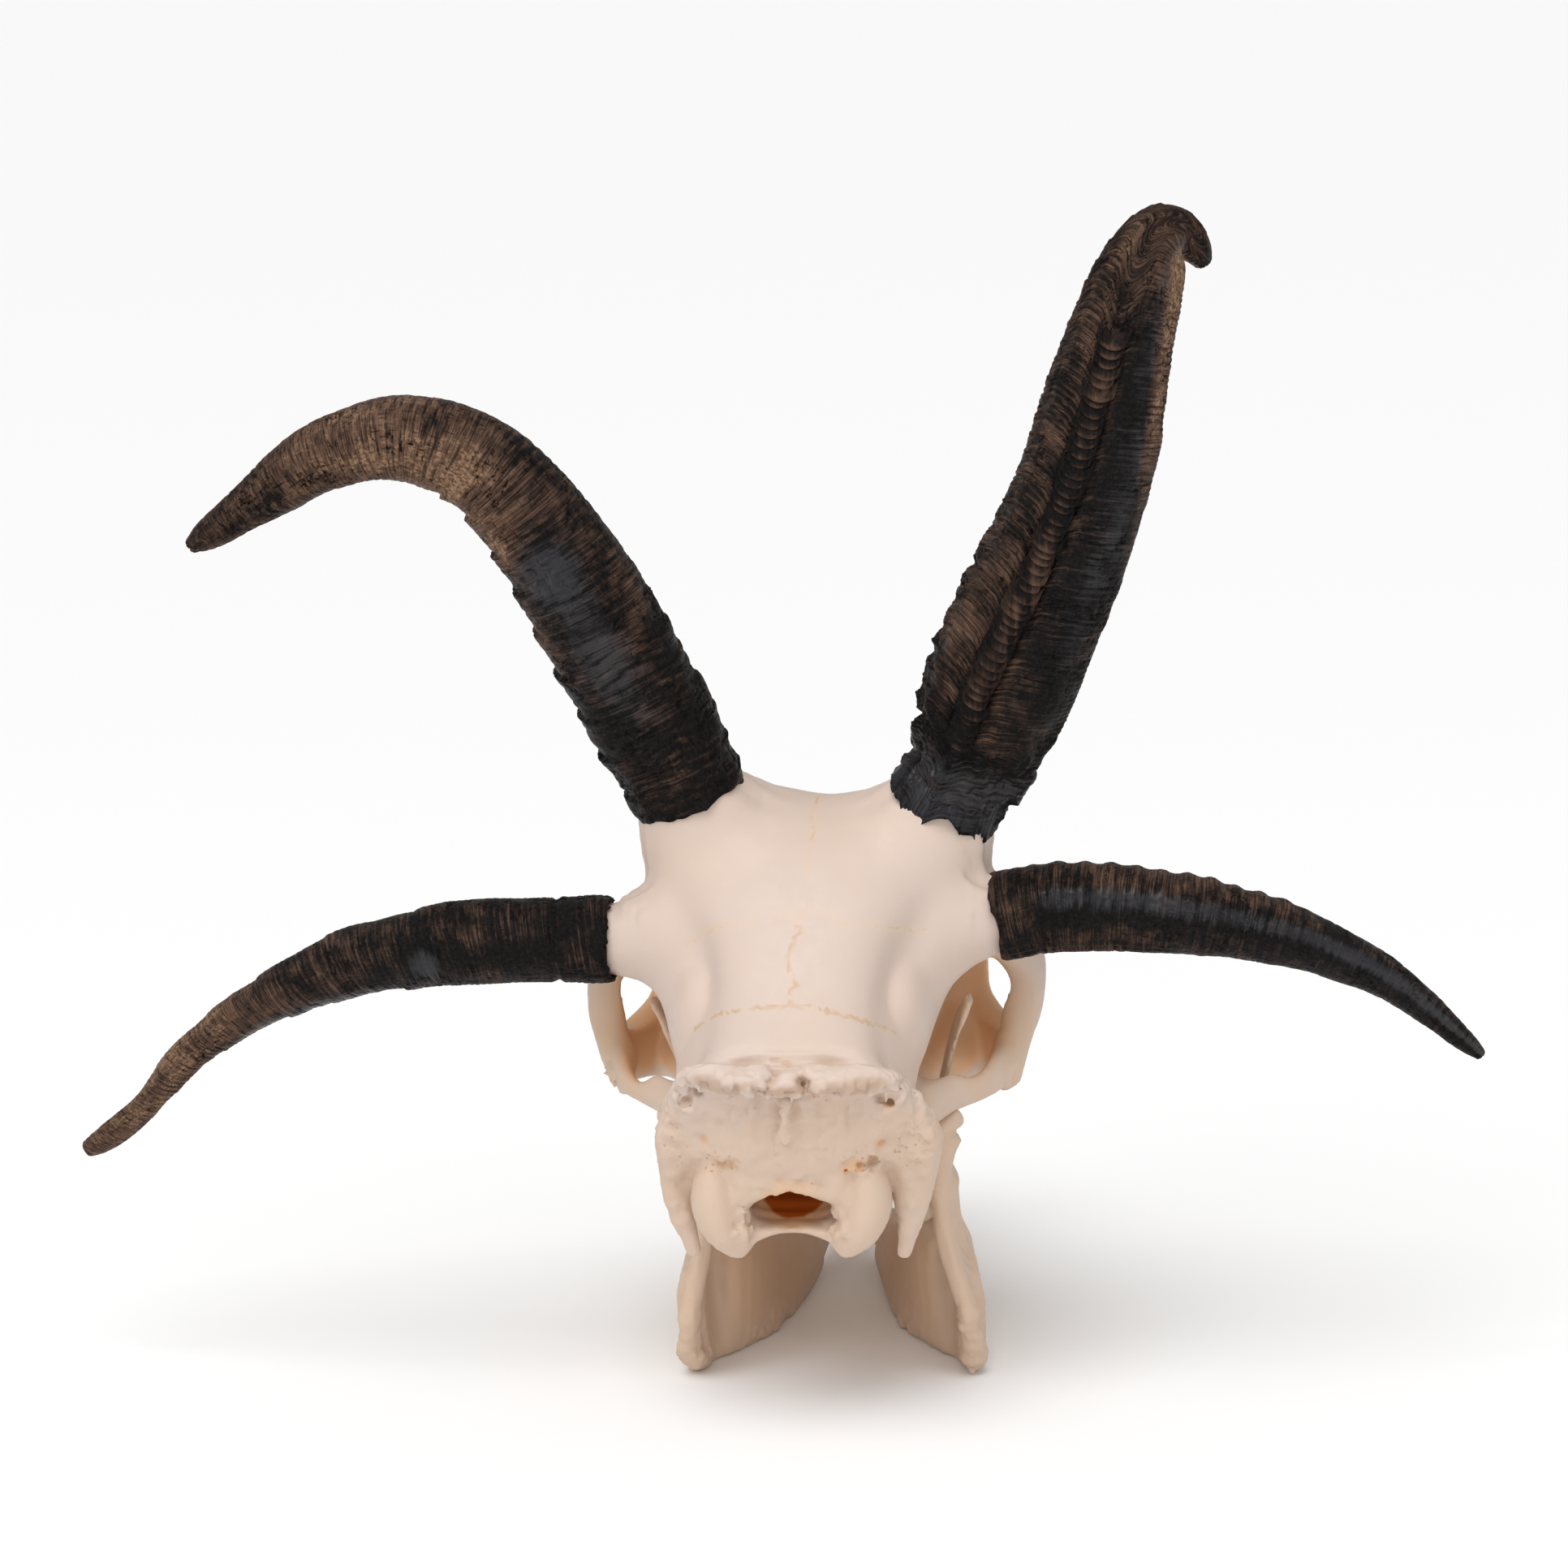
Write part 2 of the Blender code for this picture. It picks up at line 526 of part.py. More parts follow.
clear_scene()
cranium()
jaw_half(1)
jaw_half(-1)
horn("horn_upper_left", UPPER_LEFT, round_horn, 18, 2)
horn("horn_upper_right", UPPER_RIGHT, grooved_horn, 24, 2)
horn("horn_lower_left", LOWER_LEFT, round_horn, 16, 2)
horn("horn_lower_right", LOWER_RIGHT, round_horn, 16, 2)
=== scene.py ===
"""The skull of a four-horned ram, dressed for a close look from every side.

The lower jaw lies on the floor, the cranium rests on it nose up, and four horn sheaths sit on
the brow. Forms are laid out in millimetres, x to the animal's left, y to its back, z up, with
the median plane at x = 0 and the rear of the neck joints at y = 0, and are then placed in the
row's own frame in metres.
"""
import math

import bpy
import numpy as np
import openvdb
from mathutils import Matrix, Vector


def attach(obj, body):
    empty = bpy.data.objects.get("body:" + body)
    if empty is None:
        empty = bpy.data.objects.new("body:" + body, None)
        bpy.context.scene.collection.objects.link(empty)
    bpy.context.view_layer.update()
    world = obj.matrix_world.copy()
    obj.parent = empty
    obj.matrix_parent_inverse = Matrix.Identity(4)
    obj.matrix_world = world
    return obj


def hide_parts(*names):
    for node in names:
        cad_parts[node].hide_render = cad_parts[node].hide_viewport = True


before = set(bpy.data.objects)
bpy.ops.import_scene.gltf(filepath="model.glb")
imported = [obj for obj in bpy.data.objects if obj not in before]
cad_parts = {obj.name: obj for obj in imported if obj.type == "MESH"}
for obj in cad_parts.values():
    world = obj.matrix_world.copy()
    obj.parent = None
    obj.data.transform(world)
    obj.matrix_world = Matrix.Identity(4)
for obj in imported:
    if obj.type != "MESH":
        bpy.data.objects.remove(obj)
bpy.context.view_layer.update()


# The lower jaw
# Two bones that meet at the chin, each a long low body with a thin upright blade behind, which
# ends in a joint and a hooked top. They lie on the floor on small flats of their lower edges.

FAR = 14.0
MEDIAN_X, CONDYLE_Y, FLOOR_CUT = -10.0, 106.9, 4.5
JOINT_Y, JOINT_Z = -49.0, 78.0
JAW_SLIDE, JAW_TILT, JAW_YAW = -6.6, 0.036, math.radians(1.3)
JAW_CELL, JAW_FACES = 0.85, 120000
NO_SEAM = 8.0


def catmull(values, steps):
    """Rows of numbers smoothed into steps times as many, through every one of them."""
    values = np.array(values, float)
    last = len(values) - 1
    rows = []
    for index in range(last):
        a, b = values[max(index - 1, 0)], values[index]
        c, d = values[index + 1], values[min(index + 2, last)]
        for step in range(steps):
            t = step / steps
            rows.append(0.5 * (2 * b + (c - a) * t + (2 * a - 5 * b + 4 * c - d) * t * t
                               + (3 * b - a - 3 * c + d) * t ** 3))
    rows.append(values[last])
    return np.array(rows)


def unit(vectors):
    """Vectors brought to length one."""
    return vectors / np.maximum(np.linalg.norm(vectors, axis=-1, keepdims=True), 1e-9)


def grain(points, size, seed):
    """Smooth random values from -1 to 1 that change over a size, the same on every run."""
    place = points / size
    cell = np.floor(place).astype(np.int64)
    part = place - cell
    part = part * part * (3 - 2 * part)
    total = np.zeros(len(points))
    for corner in range(8):
        step = np.array([corner & 1, corner >> 1 & 1, corner >> 2 & 1])
        key = cell + step
        mixed = key[:, 0] * 73856093 ^ key[:, 1] * 19349663 ^ key[:, 2] * 83492791 ^ seed * 40503
        mixed = (mixed ^ mixed >> 13) * 1274126177 & 0x7FFFFFFF
        mixed = (mixed ^ mixed >> 15) & 0xFFFF
        total += mixed * np.prod(np.where(step, part, 1 - part), axis=1)
    return total / 32767.5 - 1


def to_row(points):
    """Millimetres from the median plane and the condyles to metres in the row's frame."""
    return (points + np.array([MEDIAN_X, CONDYLE_Y, -FLOOR_CUT])) * 0.001


def slide_jaw(points):
    """Points of the centred lower jaw, slid and turned to where it lies."""
    back = points[:, 1] - JOINT_Y
    cosine, sine = math.cos(JAW_YAW), math.sin(JAW_YAW)
    x = points[:, 0] * cosine - back * sine + JAW_SLIDE + JAW_TILT * points[:, 2]
    y = JOINT_Y + back * cosine + points[:, 0] * sine
    return to_row(np.stack([x, y, points[:, 2]], 1))


def blurred(values, half):
    """A block of numbers averaged twice over a box of cells."""
    for axis in (0, 1, 2, 0, 1, 2):
        first, last = np.take(values, [0], axis=axis), np.take(values, [-1], axis=axis)
        padded = np.concatenate([first] * (half + 1) + [values] + [last] * half, axis=axis)
        total = np.cumsum(padded, axis=axis, dtype=np.float64)
        upper = np.take(total, range(2 * half + 1, total.shape[axis]), axis=axis)
        lower = np.take(total, range(0, total.shape[axis] - 2 * half - 1), axis=axis)
        values = ((upper - lower) / (2 * half + 1)).astype(np.float32)
    return values


class BoneField:
    """A bone as a field of distances: forms are blended in or dug out, then a skin is drawn."""

    def __init__(self, low, high, cell):
        self.low, self.cell = np.array(low, float), cell
        self.count = np.ceil((np.array(high) - self.low) / cell).astype(int) + 1
        self.values = np.full(self.count, FAR, np.float32)

    def window(self, low, high):
        """The part of the field between two corners, as slices and three open axes."""
        first = np.clip(np.floor((np.array(low) - self.low) / self.cell).astype(int), 0, self.count - 2)
        last = np.ceil((np.array(high) - self.low) / self.cell).astype(int) + 1
        last = np.clip(last, first + 1, self.count)
        axes = [(self.low[axis] + self.cell * np.arange(first[axis], last[axis])).astype(np.float32)
                for axis in range(3)]
        cut = tuple(slice(a, b) for a, b in zip(first, last))
        return cut, axes[0][:, None, None], axes[1][None, :, None], axes[2][None, None, :]

    def join(self, cut, form, blend, dig):
        """Blend a form into the field, or dig it out, with a rounded crease."""
        held = -self.values[cut] if dig else self.values[cut]
        close = np.maximum(blend - np.abs(held - form), 0) / blend
        mixed = np.minimum(held, form) - close * close * blend / 4
        self.values[cut] = -mixed if dig else mixed

    def egg(self, centre, radii, pitch=0.0, yaw=0.0, roll=0.0, blend=3.0, dig=False):
        """An egg: pitch lifts its front, yaw turns it about z, roll about y, in degrees."""
        spin = Matrix.Rotation(math.radians(yaw), 3, 'Z') @ Matrix.Rotation(math.radians(-pitch), 3, 'X')
        turn = np.array(spin @ Matrix.Rotation(math.radians(roll), 3, 'Y'))
        centre = np.array(centre, float)
        reach = max(radii) + blend + 2 * self.cell
        cut, x, y, z = self.window(centre - reach, centre + reach)
        x, y, z = x - centre[0], y - centre[1], z - centre[2]
        near, steep = 0.0, 1e-9
        for n, radius in enumerate(radii):
            along = (turn[0, n] * x + turn[1, n] * y + turn[2, n] * z) / radius
            near = near + along * along
            steep = steep + (along / radius) ** 2
        near = np.sqrt(near)
        self.join(cut, (near * (near - 1) / np.sqrt(steep)).astype(np.float32), blend, dig)

    def bar(self, stations, up=(0.0, 0.0, 1.0), power=2.0, blend=3.0, steps=3, dig=False, cap=0.6):
        """A bar through stations of x, y, z, half width and half height, with rounded ends."""
        rows = catmull(stations, steps)
        points = rows[:, :3]
        ahead = unit(np.gradient(points, axis=0))
        side = unit(np.cross(up, ahead))
        top = np.cross(ahead, side)
        lines = unit(np.diff(points, axis=0))
        turned = np.linalg.norm(np.diff(lines, axis=0), axis=1)
        mitre = np.zeros(len(rows))
        mitre[1:-1] = rows[1:-1, 3:5].max(axis=1) * turned * 0.5 + 0.2
        reach = rows[:, 3:5].max() + blend + 2 * self.cell
        cut = self.window(points.min(0) - reach, points.max(0) + reach)[0]
        form = np.full(self.values[cut].shape, FAR, np.float32)
        for n in range(len(rows) - 1):
            start, span = points[n], points[n + 1] - points[n]
            reach = rows[n:n + 2, 3:5].max() + blend + 2 * self.cell
            inner, x, y, z = self.window(np.minimum(start, points[n + 1]) - reach,
                                         np.maximum(start, points[n + 1]) + reach)
            x, y, z = x - start[0], y - start[1], z - start[2]
            t = np.clip((x * span[0] + y * span[1] + z * span[2]) / (span @ span), 0, 1)
            x, y, z = x - t * span[0], y - t * span[1], z - t * span[2]
            line = lines[n]

            def along(first, second):
                """How far points lie along a direction that turns from one to another."""
                return ((x * first[0] + y * first[1] + z * first[2]) * (1 - t)
                        + (x * second[0] + y * second[1] + z * second[2]) * t)

            wide = rows[n, 3] + t * (rows[n + 1, 3] - rows[n, 3])
            high = rows[n, 4] + t * (rows[n + 1, 4] - rows[n, 4])
            end = cap * np.minimum(wide, high)
            u, v = along(side[n], side[n + 1]) / wide, along(top[n], top[n + 1]) / high
            past = x * line[0] + y * line[1] + z * line[2]
            spare = np.where(t <= 0, mitre[n], mitre[n + 1])
            e = np.maximum(np.abs(past) - spare, 0) / end
            if power == 2.0:
                near = u * u + v * v
            else:
                near = (np.abs(u) ** power + np.abs(v) ** power) ** (2.0 / power)
            near = np.sqrt(near + e * e)
            steep = np.sqrt((u / wide) ** 2 + (v / high) ** 2 + (e / end) ** 2) + 1e-6
            slot = tuple(slice(a.start - b.start, a.stop - b.start) for a, b in zip(inner, cut))
            form[slot] = np.minimum(form[slot], near * (near - 1) / steep)
        self.join(cut, form, blend, dig)

    def skin(self):
        """The field's surface: points in millimetres and quads that face out."""
        grid = openvdb.FloatGrid(FAR)
        grid.copyFromArray(self.values)
        points, quads = grid.convertToQuads(isovalue=0.0)
        quads = quads.astype(np.int64)
        label = np.arange(len(points))
        while True:
            lower = label.copy()
            np.minimum.at(lower, quads.ravel(), np.repeat(label[quads].min(1), 4))
            lower = lower[lower]
            if (lower == label).all():
                break
            label = lower
        main = np.bincount(label).argmax()
        quads = quads[label[quads[:, 0]] == main]
        kept = np.unique(quads)
        renumber = np.zeros(len(points), np.int64)
        renumber[kept] = np.arange(len(kept))
        points, quads = points[kept], renumber[quads]
        first, second, third = points[quads[:, 0]], points[quads[:, 1]], points[quads[:, 2]]
        if (np.cross(second - first, third - first) * first).sum() < 0:
            quads = quads[:, ::-1]
        return self.low + points * self.cell, quads

    def crowding(self, points, reach):
        """How much bone lies within a reach of each point: low on edges, high in hollows."""
        share = blurred((self.values < 0).astype(np.float32), max(1, int(reach / self.cell / 2)))
        place = np.clip((points - self.low) / self.cell, 0, self.count - 1.001)
        cell = place.astype(int)
        part = place - cell
        found = np.zeros(len(points))
        for corner in range(8):
            step = np.array([corner & 1, corner >> 1 & 1, corner >> 2 & 1])
            x, y, z = (cell + step).T
            found += share[x, y, z] * np.prod(np.where(step, part, 1 - part), axis=1)
        return found

    def soften(self, low, high, half, fade):
        """Smooth the form inside a box, fading out towards its sides."""
        cut, x, y, z = self.window(low, high)
        weight = np.ones(self.values[cut].shape, np.float32)
        for axis in (x, y, z):
            weight = weight * rise_from(np.minimum(axis - axis.min(), axis.max() - axis), 0, fade)
        held = self.values[cut]
        self.values[cut] = held + (blurred(held, half) - held) * weight

    def weather(self, centre, radii, size, amount, seed):
        """Fold a bone's surface into lobes with sharp creases between them, inside an egg."""
        centre, radii = np.array(centre, float), np.array(radii, float)
        cut, x, y, z = self.window(centre - radii, centre + radii)
        held = self.values[cut]
        spread = [np.broadcast_to(axis, held.shape).ravel() for axis in (x, y, z)]
        points = np.stack(spread, 1).astype(float)
        close = (np.abs(held.ravel()) < 4) & (fall(points, centre, radii) > 0)
        change = np.zeros(held.size, np.float32)
        near = points[close]
        weight = np.minimum(2.2 * fall(near, centre, radii), 1)
        folds = 0.3 - np.abs(grain(near, size / 2.1, seed + 1))
        change[close] = weight * (0.8 * grain(near, size, seed) + 1.1 * folds)
        self.values[cut] = held + amount * change.reshape(held.shape)


def mesh_of(name, points, polygons):
    """A mesh from an array of points and one of equal polygons."""
    mesh = bpy.data.meshes.new(name)
    mesh.vertices.add(len(points))
    mesh.vertices.foreach_set("co", np.ascontiguousarray(points, np.float32).ravel())
    sides = polygons.shape[1]
    mesh.loops.add(polygons.size)
    mesh.loops.foreach_set("vertex_index", np.ascontiguousarray(polygons, np.int32).ravel())
    mesh.polygons.add(len(polygons))
    mesh.polygons.foreach_set("loop_start", np.arange(0, polygons.size, sides, dtype=np.int32))
    mesh.update(calc_edges=True)
    mesh.validate()
    return mesh


def normals_of(mesh):
    """Each vertex's outward direction."""
    normals = np.zeros(len(mesh.vertices) * 3, np.float32)
    mesh.vertex_normals.foreach_get("vector", normals)
    return normals.reshape(-1, 3).astype(float)


def write_mark(mesh, name, values):
    """Keep one number for each vertex, for a material to read."""
    made = mesh.attributes.new(name, 'FLOAT', 'POINT')
    made.data.foreach_set("value", np.ascontiguousarray(values, np.float32))


def settle(piece):
    """Put a piece's modifiers into a plain mesh."""
    graph = bpy.context.evaluated_depsgraph_get()
    graph.update()
    mesh = bpy.data.meshes.new_from_object(piece.evaluated_get(graph))
    piece.modifiers.clear()
    piece.data = mesh
    mesh.shade_smooth()
    return piece


def new_object(name, data):
    """An object in the scene with its data."""
    made = bpy.data.objects.new(name, data)
    bpy.context.scene.collection.objects.link(made)
    return made


def bone_piece(name, field, place, faces, sculpt, marks, material):
    """Draw a bone's skin, sculpt it, mark it, thin its mesh and put it in its place."""
    points, quads = field.skin()
    mesh = mesh_of(name, points, quads)
    points = points + sculpt(points, normals_of(mesh))
    mesh.vertices.foreach_set("co", points.astype(np.float32).ravel())
    mesh.update()
    for mark, values in marks(points, field).items():
        write_mark(mesh, mark, values)
    piece = new_object(name, mesh)
    fewer = piece.modifiers.new("fewer", 'DECIMATE')
    fewer.ratio = min(1.0, faces / (2 * len(quads)))
    settle(piece)
    points = np.zeros(len(piece.data.vertices) * 3)
    piece.data.vertices.foreach_get("co", points)
    piece.data.vertices.foreach_set("co", place(points.reshape(-1, 3)).astype(np.float32).ravel())
    piece.data.materials.append(material)
    piece.data.update()
    return piece


class Wire:
    """A socket of a node tree that can stand in plain sums."""

    def __init__(self, nodes, socket):
        self.nodes, self.socket = nodes, socket

    def sum(self, operation, first, second):
        """A sum of two sockets or numbers."""
        return self.nodes.make("ShaderNodeMath", {"operation": operation}, {0: first, 1: second})

    def __add__(self, other):
        return self.sum('ADD', self, other)

    def __sub__(self, other):
        return self.sum('SUBTRACT', self, other)

    def __mul__(self, other):
        return self.sum('MULTIPLY', self, other)

    def __truediv__(self, other):
        return self.sum('DIVIDE', self, other)


class Nodes:
    """Makes the nodes of one tree."""

    def __init__(self, tree):
        self.tree = tree

    def make(self, kind, settings=None, values=None, out=0):
        """One node: its settings, then the values or wires of its sockets; gives an output."""
        node = self.tree.nodes.new(kind)
        for key, value in (settings or {}).items():
            setattr(node, key, value)
        self.feed(node, values or {})
        return Wire(self, node.outputs[out])

    def feed(self, node, values):
        """Lead a wire to each of a node's sockets, or set its value."""
        for key, value in values.items():
            if isinstance(value, Wire):
                self.tree.links.new(value.socket, node.inputs[key])
            else:
                node.inputs[key].default_value = value

    def mark(self, name):
        """A number kept on the mesh."""
        return self.make("ShaderNodeAttribute", {"attribute_name": name}, out="Fac")

    def noise(self, vector, scale, detail=2.0, rough=0.5):
        """Cloudy values from 0 to 1."""
        return self.make("ShaderNodeTexNoise", None, {"Vector": vector, "Scale": scale, "Detail": detail,
                                                      "Roughness": rough})

    def step(self, value, start, end, low=0.0, high=1.0):
        """A soft step from low to high as a value goes from start to end."""
        return self.make("ShaderNodeMapRange", {"interpolation_type": 'SMOOTHSTEP'},
                         {0: value, 1: start, 2: end, 3: low, 4: high})

    def tint(self, factor, first, second):
        """A colour between two, by a factor."""
        return self.make("ShaderNodeMix", {"data_type": 'RGBA'}, {0: factor, 6: first, 7: second}, out=2)

    def stretch(self, vector, scale):
        """A vector with each part scaled by itself."""
        return self.make("ShaderNodeVectorMath", {"operation": 'MULTIPLY'}, {0: vector, 1: scale})


def new_material(name):
    """A material, what makes its nodes, and its main shader."""
    material = bpy.data.materials.new(name)
    material.use_nodes = True
    return material, Nodes(material.node_tree), material.node_tree.nodes["Principled BSDF"]


def bone_material(name, warmth):
    """Dry bleached bone: ivory with cream clouds, tan hollows, pores, seams and fine cracks, with painted
    shade in creases.
    """
    material, nodes, shader = new_material(name)
    place = nodes.make("ShaderNodeTexCoord", out="Object")
    marks = [nodes.mark(mark) for mark in ("crease", "rough", "seam", "band", "stain")]
    crease, rough, seam, band, stain = marks

    cloud = nodes.noise(place, 26.0, 4.0, 0.6)
    fleck = nodes.noise(place, 240.0, 4.0, 0.65)
    ivory = nodes.tint(nodes.step(cloud, 0.38, 0.66), (0.615, 0.494, 0.424, 1), (0.620, 0.488, 0.404, 1))
    soak = stain + warmth + (cloud - 0.5) * (stain * 0.6 + 0.10) + (fleck - 0.5) * 0.08
    cream = nodes.tint(nodes.step(soak, 0.03, 0.22), ivory, (0.615, 0.455, 0.338, 1))
    tan = nodes.tint(nodes.step(soak, 0.20, 0.75), cream, (0.720, 0.430, 0.230, 1))
    deep = nodes.tint(nodes.step(soak, 0.85, 1.05), tan, (0.420, 0.085, 0.004, 1))
    # Painted shade: a dull brown laid over creases and hollows where bone crowds round.
    with_painted_shade = nodes.tint(nodes.step(crease + (fleck - 0.5) * 0.14, 0.60, 0.80, 0.0, 0.42), deep,
                       (0.40, 0.235, 0.125, 1))
    pits = nodes.make("ShaderNodeTexVoronoi", None, {"Vector": place, "Scale": 620.0})
    pit = nodes.step(pits, 0.34, 0.12) * nodes.step(rough + (fleck - 0.5) * 1.2, 0.85, 1.15)
    pitted = nodes.tint(pit * 0.6, with_painted_shade, (0.42, 0.220, 0.100, 1))
    thread = nodes.noise(place, 520.0, 3.0)
    haze = nodes.step(band + (fleck - 0.5) * 1.6, 2.0, 0.1, 0.0, 0.22)
    hazed = nodes.tint(haze, pitted, (0.730, 0.480, 0.270, 1))
    join = nodes.step(seam + (thread - 0.5) * 0.5, 0.95, 0.25, 0.0, 0.58)
    line = nodes.tint(join, hazed, (0.520, 0.320, 0.175, 1))

    gloss = nodes.step(fleck, 0.3, 0.7, 0.44, 0.60) + rough * 0.12
    micro = nodes.noise(place, 900.0, 3.0, 0.6)
    relief = (fleck * 0.45 + micro * 0.16) * (rough * 2.0 + 0.35) - pit * 0.5 - join * 0.5
    bump = nodes.make("ShaderNodeBump", None, {"Strength": 0.55, "Distance": 0.0005, "Height": relief})
    nodes.feed(shader, {"Base Color": line, "Roughness": gloss, "Normal": bump, "Specular IOR Level": 0.42})
    return material


def line_distance(points, line, reach=8.0):
    """How far each point is from a line through places, in millimetres, up to a reach."""
    line = np.array(line, float)
    found = np.full(len(points), reach)
    close = np.all((points > line.min(0) - reach) & (points < line.max(0) + reach), axis=1)
    if not close.any():
        return found
    near = points[close]
    best = np.full(len(near), reach)
    for start, end in zip(line[:-1], line[1:]):
        span = end - start
        t = np.clip((near - start) @ span / max(span @ span, 1e-9), 0, 1)
        best = np.minimum(best, np.linalg.norm(near - start - t[:, None] * span, axis=1))
    found[close] = best
    return found


def fall(points, centre, radii):
    """A soft bump from 1 at a centre to 0 at an egg's surface."""
    reach = np.linalg.norm((points - np.array(centre, float)) / np.array(radii, float), axis=1)
    return np.clip(1 - reach, 0, 1) ** 2 * (1 + 2 * np.clip(reach, 0, 1))


def rise_from(value, start, end):
    """A soft step from 0 to 1."""
    share = np.clip((value - start) / (end - start), 0, 1)
    return share * share * (3 - 2 * share)


def mirrored(side, stations):
    """A bar's stations with x multiplied by a side: 1 for the left, -1 for the right."""
    return [(side * x, *rest) for x, *rest in stations]


def jaw_field(side):
    """One half of the lower jaw, centred, before it is slid into place."""
    low, high = sorted((-side * 6.0, side * 54.0))
    bone = BoneField((low, -252, -4), (high, -40, 122), JAW_CELL)
    body = [(38.0, -68, 19.5, 3.4, 14.2), (35.0, -80, 22.6, 4.4, 18.6), (28.6, -93, 22.4, 5.8, 19.2),
            (24.2, -108, 20.2, 6.0, 17.6), (20.4, -125, 17.6, 5.8, 15.8), (16.8, -142, 15.0, 5.2, 13.4),
            (13.6, -158, 13.8, 4.4, 11.2), (10.8, -172, 14.4, 3.8, 8.4), (8.4, -186, 16.4, 3.8, 6.6),
            (6.4, -199, 19, 5.2, 5.4), (6.6, -212, 20.5, 6.2, 4.6), (7.4, -224, 22.5, 6.6, 3.2)]
    bone.bar(mirrored(side, body), power=2.4)
    ramus = [(38.5, -70, 11, 8.0, 2.4), (38.6, -66, 22, 12.0, 2.1), (35.5, -68, 36, 15, 1.7),
             (33.2, -69, 50, 14, 1.5), (32.4, -68, 62, 12, 1.6), (33.4, -66, 72, 10.5, 1.8)]
    bone.bar(mirrored(side, ramus), up=(side, 0, 0), blend=5)
    tall = [(33.4, -67.5, 70, 9, 1.8), (33.4, -66.5, 81, 7.8, 1.4), (35.6, -64.5, 92, 6.4, 1.2),
            (39.0, -60.5, 103, 4.6, 1.1), (42.8, -55.5, 112.0, 2.4, 1.1)]
    bone.bar(mirrored(side, tall), up=(side, 0, 0))
    # The joint's neck, its head lying crosswise, the thick lower edge and the blade's rear edge.
    bone.bar(mirrored(side, [(32.4, -59, 61, 4.5, 2.0), (33.0, -55, 69, 4.0, 3.4),
                             (33.6, -52, 74.0, 3.2, 5.2)]), up=(side, 0, 0), blend=4)
    bone.bar(mirrored(side, [(26.5, -50, 76.5, 3.0, 3.0), (33, -50.5, 77.8, 3.4, 3.0),
                             (37.6, -53, 80.0, 2.6, 2.8)]), blend=2.5)
    bone.bar(mirrored(side, [(33.0, -84, 8.6, 3.4, 4.6), (25.4, -98, 8.0, 3.4, 4.6),
                             (20.2, -112, 8.0, 3.4, 4.6), (16.8, -128, 8.6, 3.2, 4.4),
                             (14.0, -144, 9.6, 3.0, 4.0), (11.6, -160, 10.8, 2.8, 3.6)]), blend=6)
    bone.bar(mirrored(side, [(36.4, -80, 6.2, 2.6, 2.8), (38.0, -70, 6.6, 3.0, 3.0),
                             (39.3, -62.4, 10.4, 2.9, 2.9), (39.0, -57.2, 18.6, 2.7, 2.7),
                             (37.2, -55.4, 28, 2.6, 2.6), (33.8, -56.5, 40, 2.2, 2.2),
                             (31.4, -58, 58, 2.0, 2.0)]), up=(1, 0, 0), blend=3)
    # The ridge down to the teeth, the edge that holds them, the inner hollow and the chin's hole.
    bone.bar(mirrored(side, [(34.5, -62, 60, 2.0, 2.0), (33.0, -70, 46, 2.4, 2.2),
                             (31.5, -82, 36, 3.0, 2.4)]), blend=7)
    bone.bar(mirrored(side, [(32.2, -84, 35.6, 4.2, 5.4), (30.8, -92, 33.4, 5.8, 6.0),
                             (28.4, -102, 31.4, 6.2, 6.0), (25.2, -116, 28.8, 5.9, 5.8),
                             (22.0, -130, 26.0, 5.3, 5.4), (19.2, -144, 23.2, 4.6, 5.0),
                             (16.6, -156, 20.8, 4.0, 4.4), (13.6, -168, 18.2, 3.2, 3.4)]), power=3.0,
             blend=4)
    bone.egg((side * 29.6, -72, 24), (4.6, 12, 15), yaw=side * 14, blend=5, dig=True)
    bone.egg((side * 13.5, -188, 19), (3.0, 4.0, 2.0), blend=2, dig=True)
    bone.weather((side * 39, -58, 18), (8, 12, 26), 6.0, 0.7, 121)
    bone.weather((side * 22, -108, 6), (14, 44, 8), 5.0, 1.0, 123)
    bone.weather((side * 37, -66, 8), (9, 16, 9), 4.0, 0.7, 125)
    # The lower edge is cut level where it lies on the floor.
    z = (bone.low[2] + bone.cell * np.arange(bone.count[2]))[None, None, :]
    bone.values = np.maximum(bone.values, (FLOOR_CUT + 0.06 - z).astype(np.float32))
    # Each half keeps to its own side of the chin.
    x = (bone.low[0] + bone.cell * np.arange(bone.count[0]))[:, None, None] * side
    front = int((-150 - bone.low[1]) / bone.cell)
    bone.values[:, :front] = np.maximum(bone.values[:, :front], (0.2 - x).astype(np.float32))
    return bone


def jaw_sculpt(side):
    """The fine relief of one half of the lower jaw."""
    def sculpt(points, normals):
        """Roughen the angle where the chewing muscle held, and groove the blade's inner face."""
        angle = fall(points, (side * 38, -60, 16), (14, 20, 30))
        rough = grain(points, 3.4, 11) * 0.55 + grain(points, 1.7, 12) * 0.28
        ribs = grain(points * np.array([1, 1, 0.28]), 3.0, 13) * 0.35
        blade = np.clip((points[:, 2] - 18) / 12, 0, 1) * np.clip((points[:, 1] + 56) / 6 + 2.4, 0, 1)
        amount = angle * rough * 1.3 + ribs * blade + grain(points, 14, 14) * 0.35
        amount *= np.clip((points[:, 2] - FLOOR_CUT - 0.4) / 2.0, 0, 1)
        return normals * amount[:, None]
    return sculpt


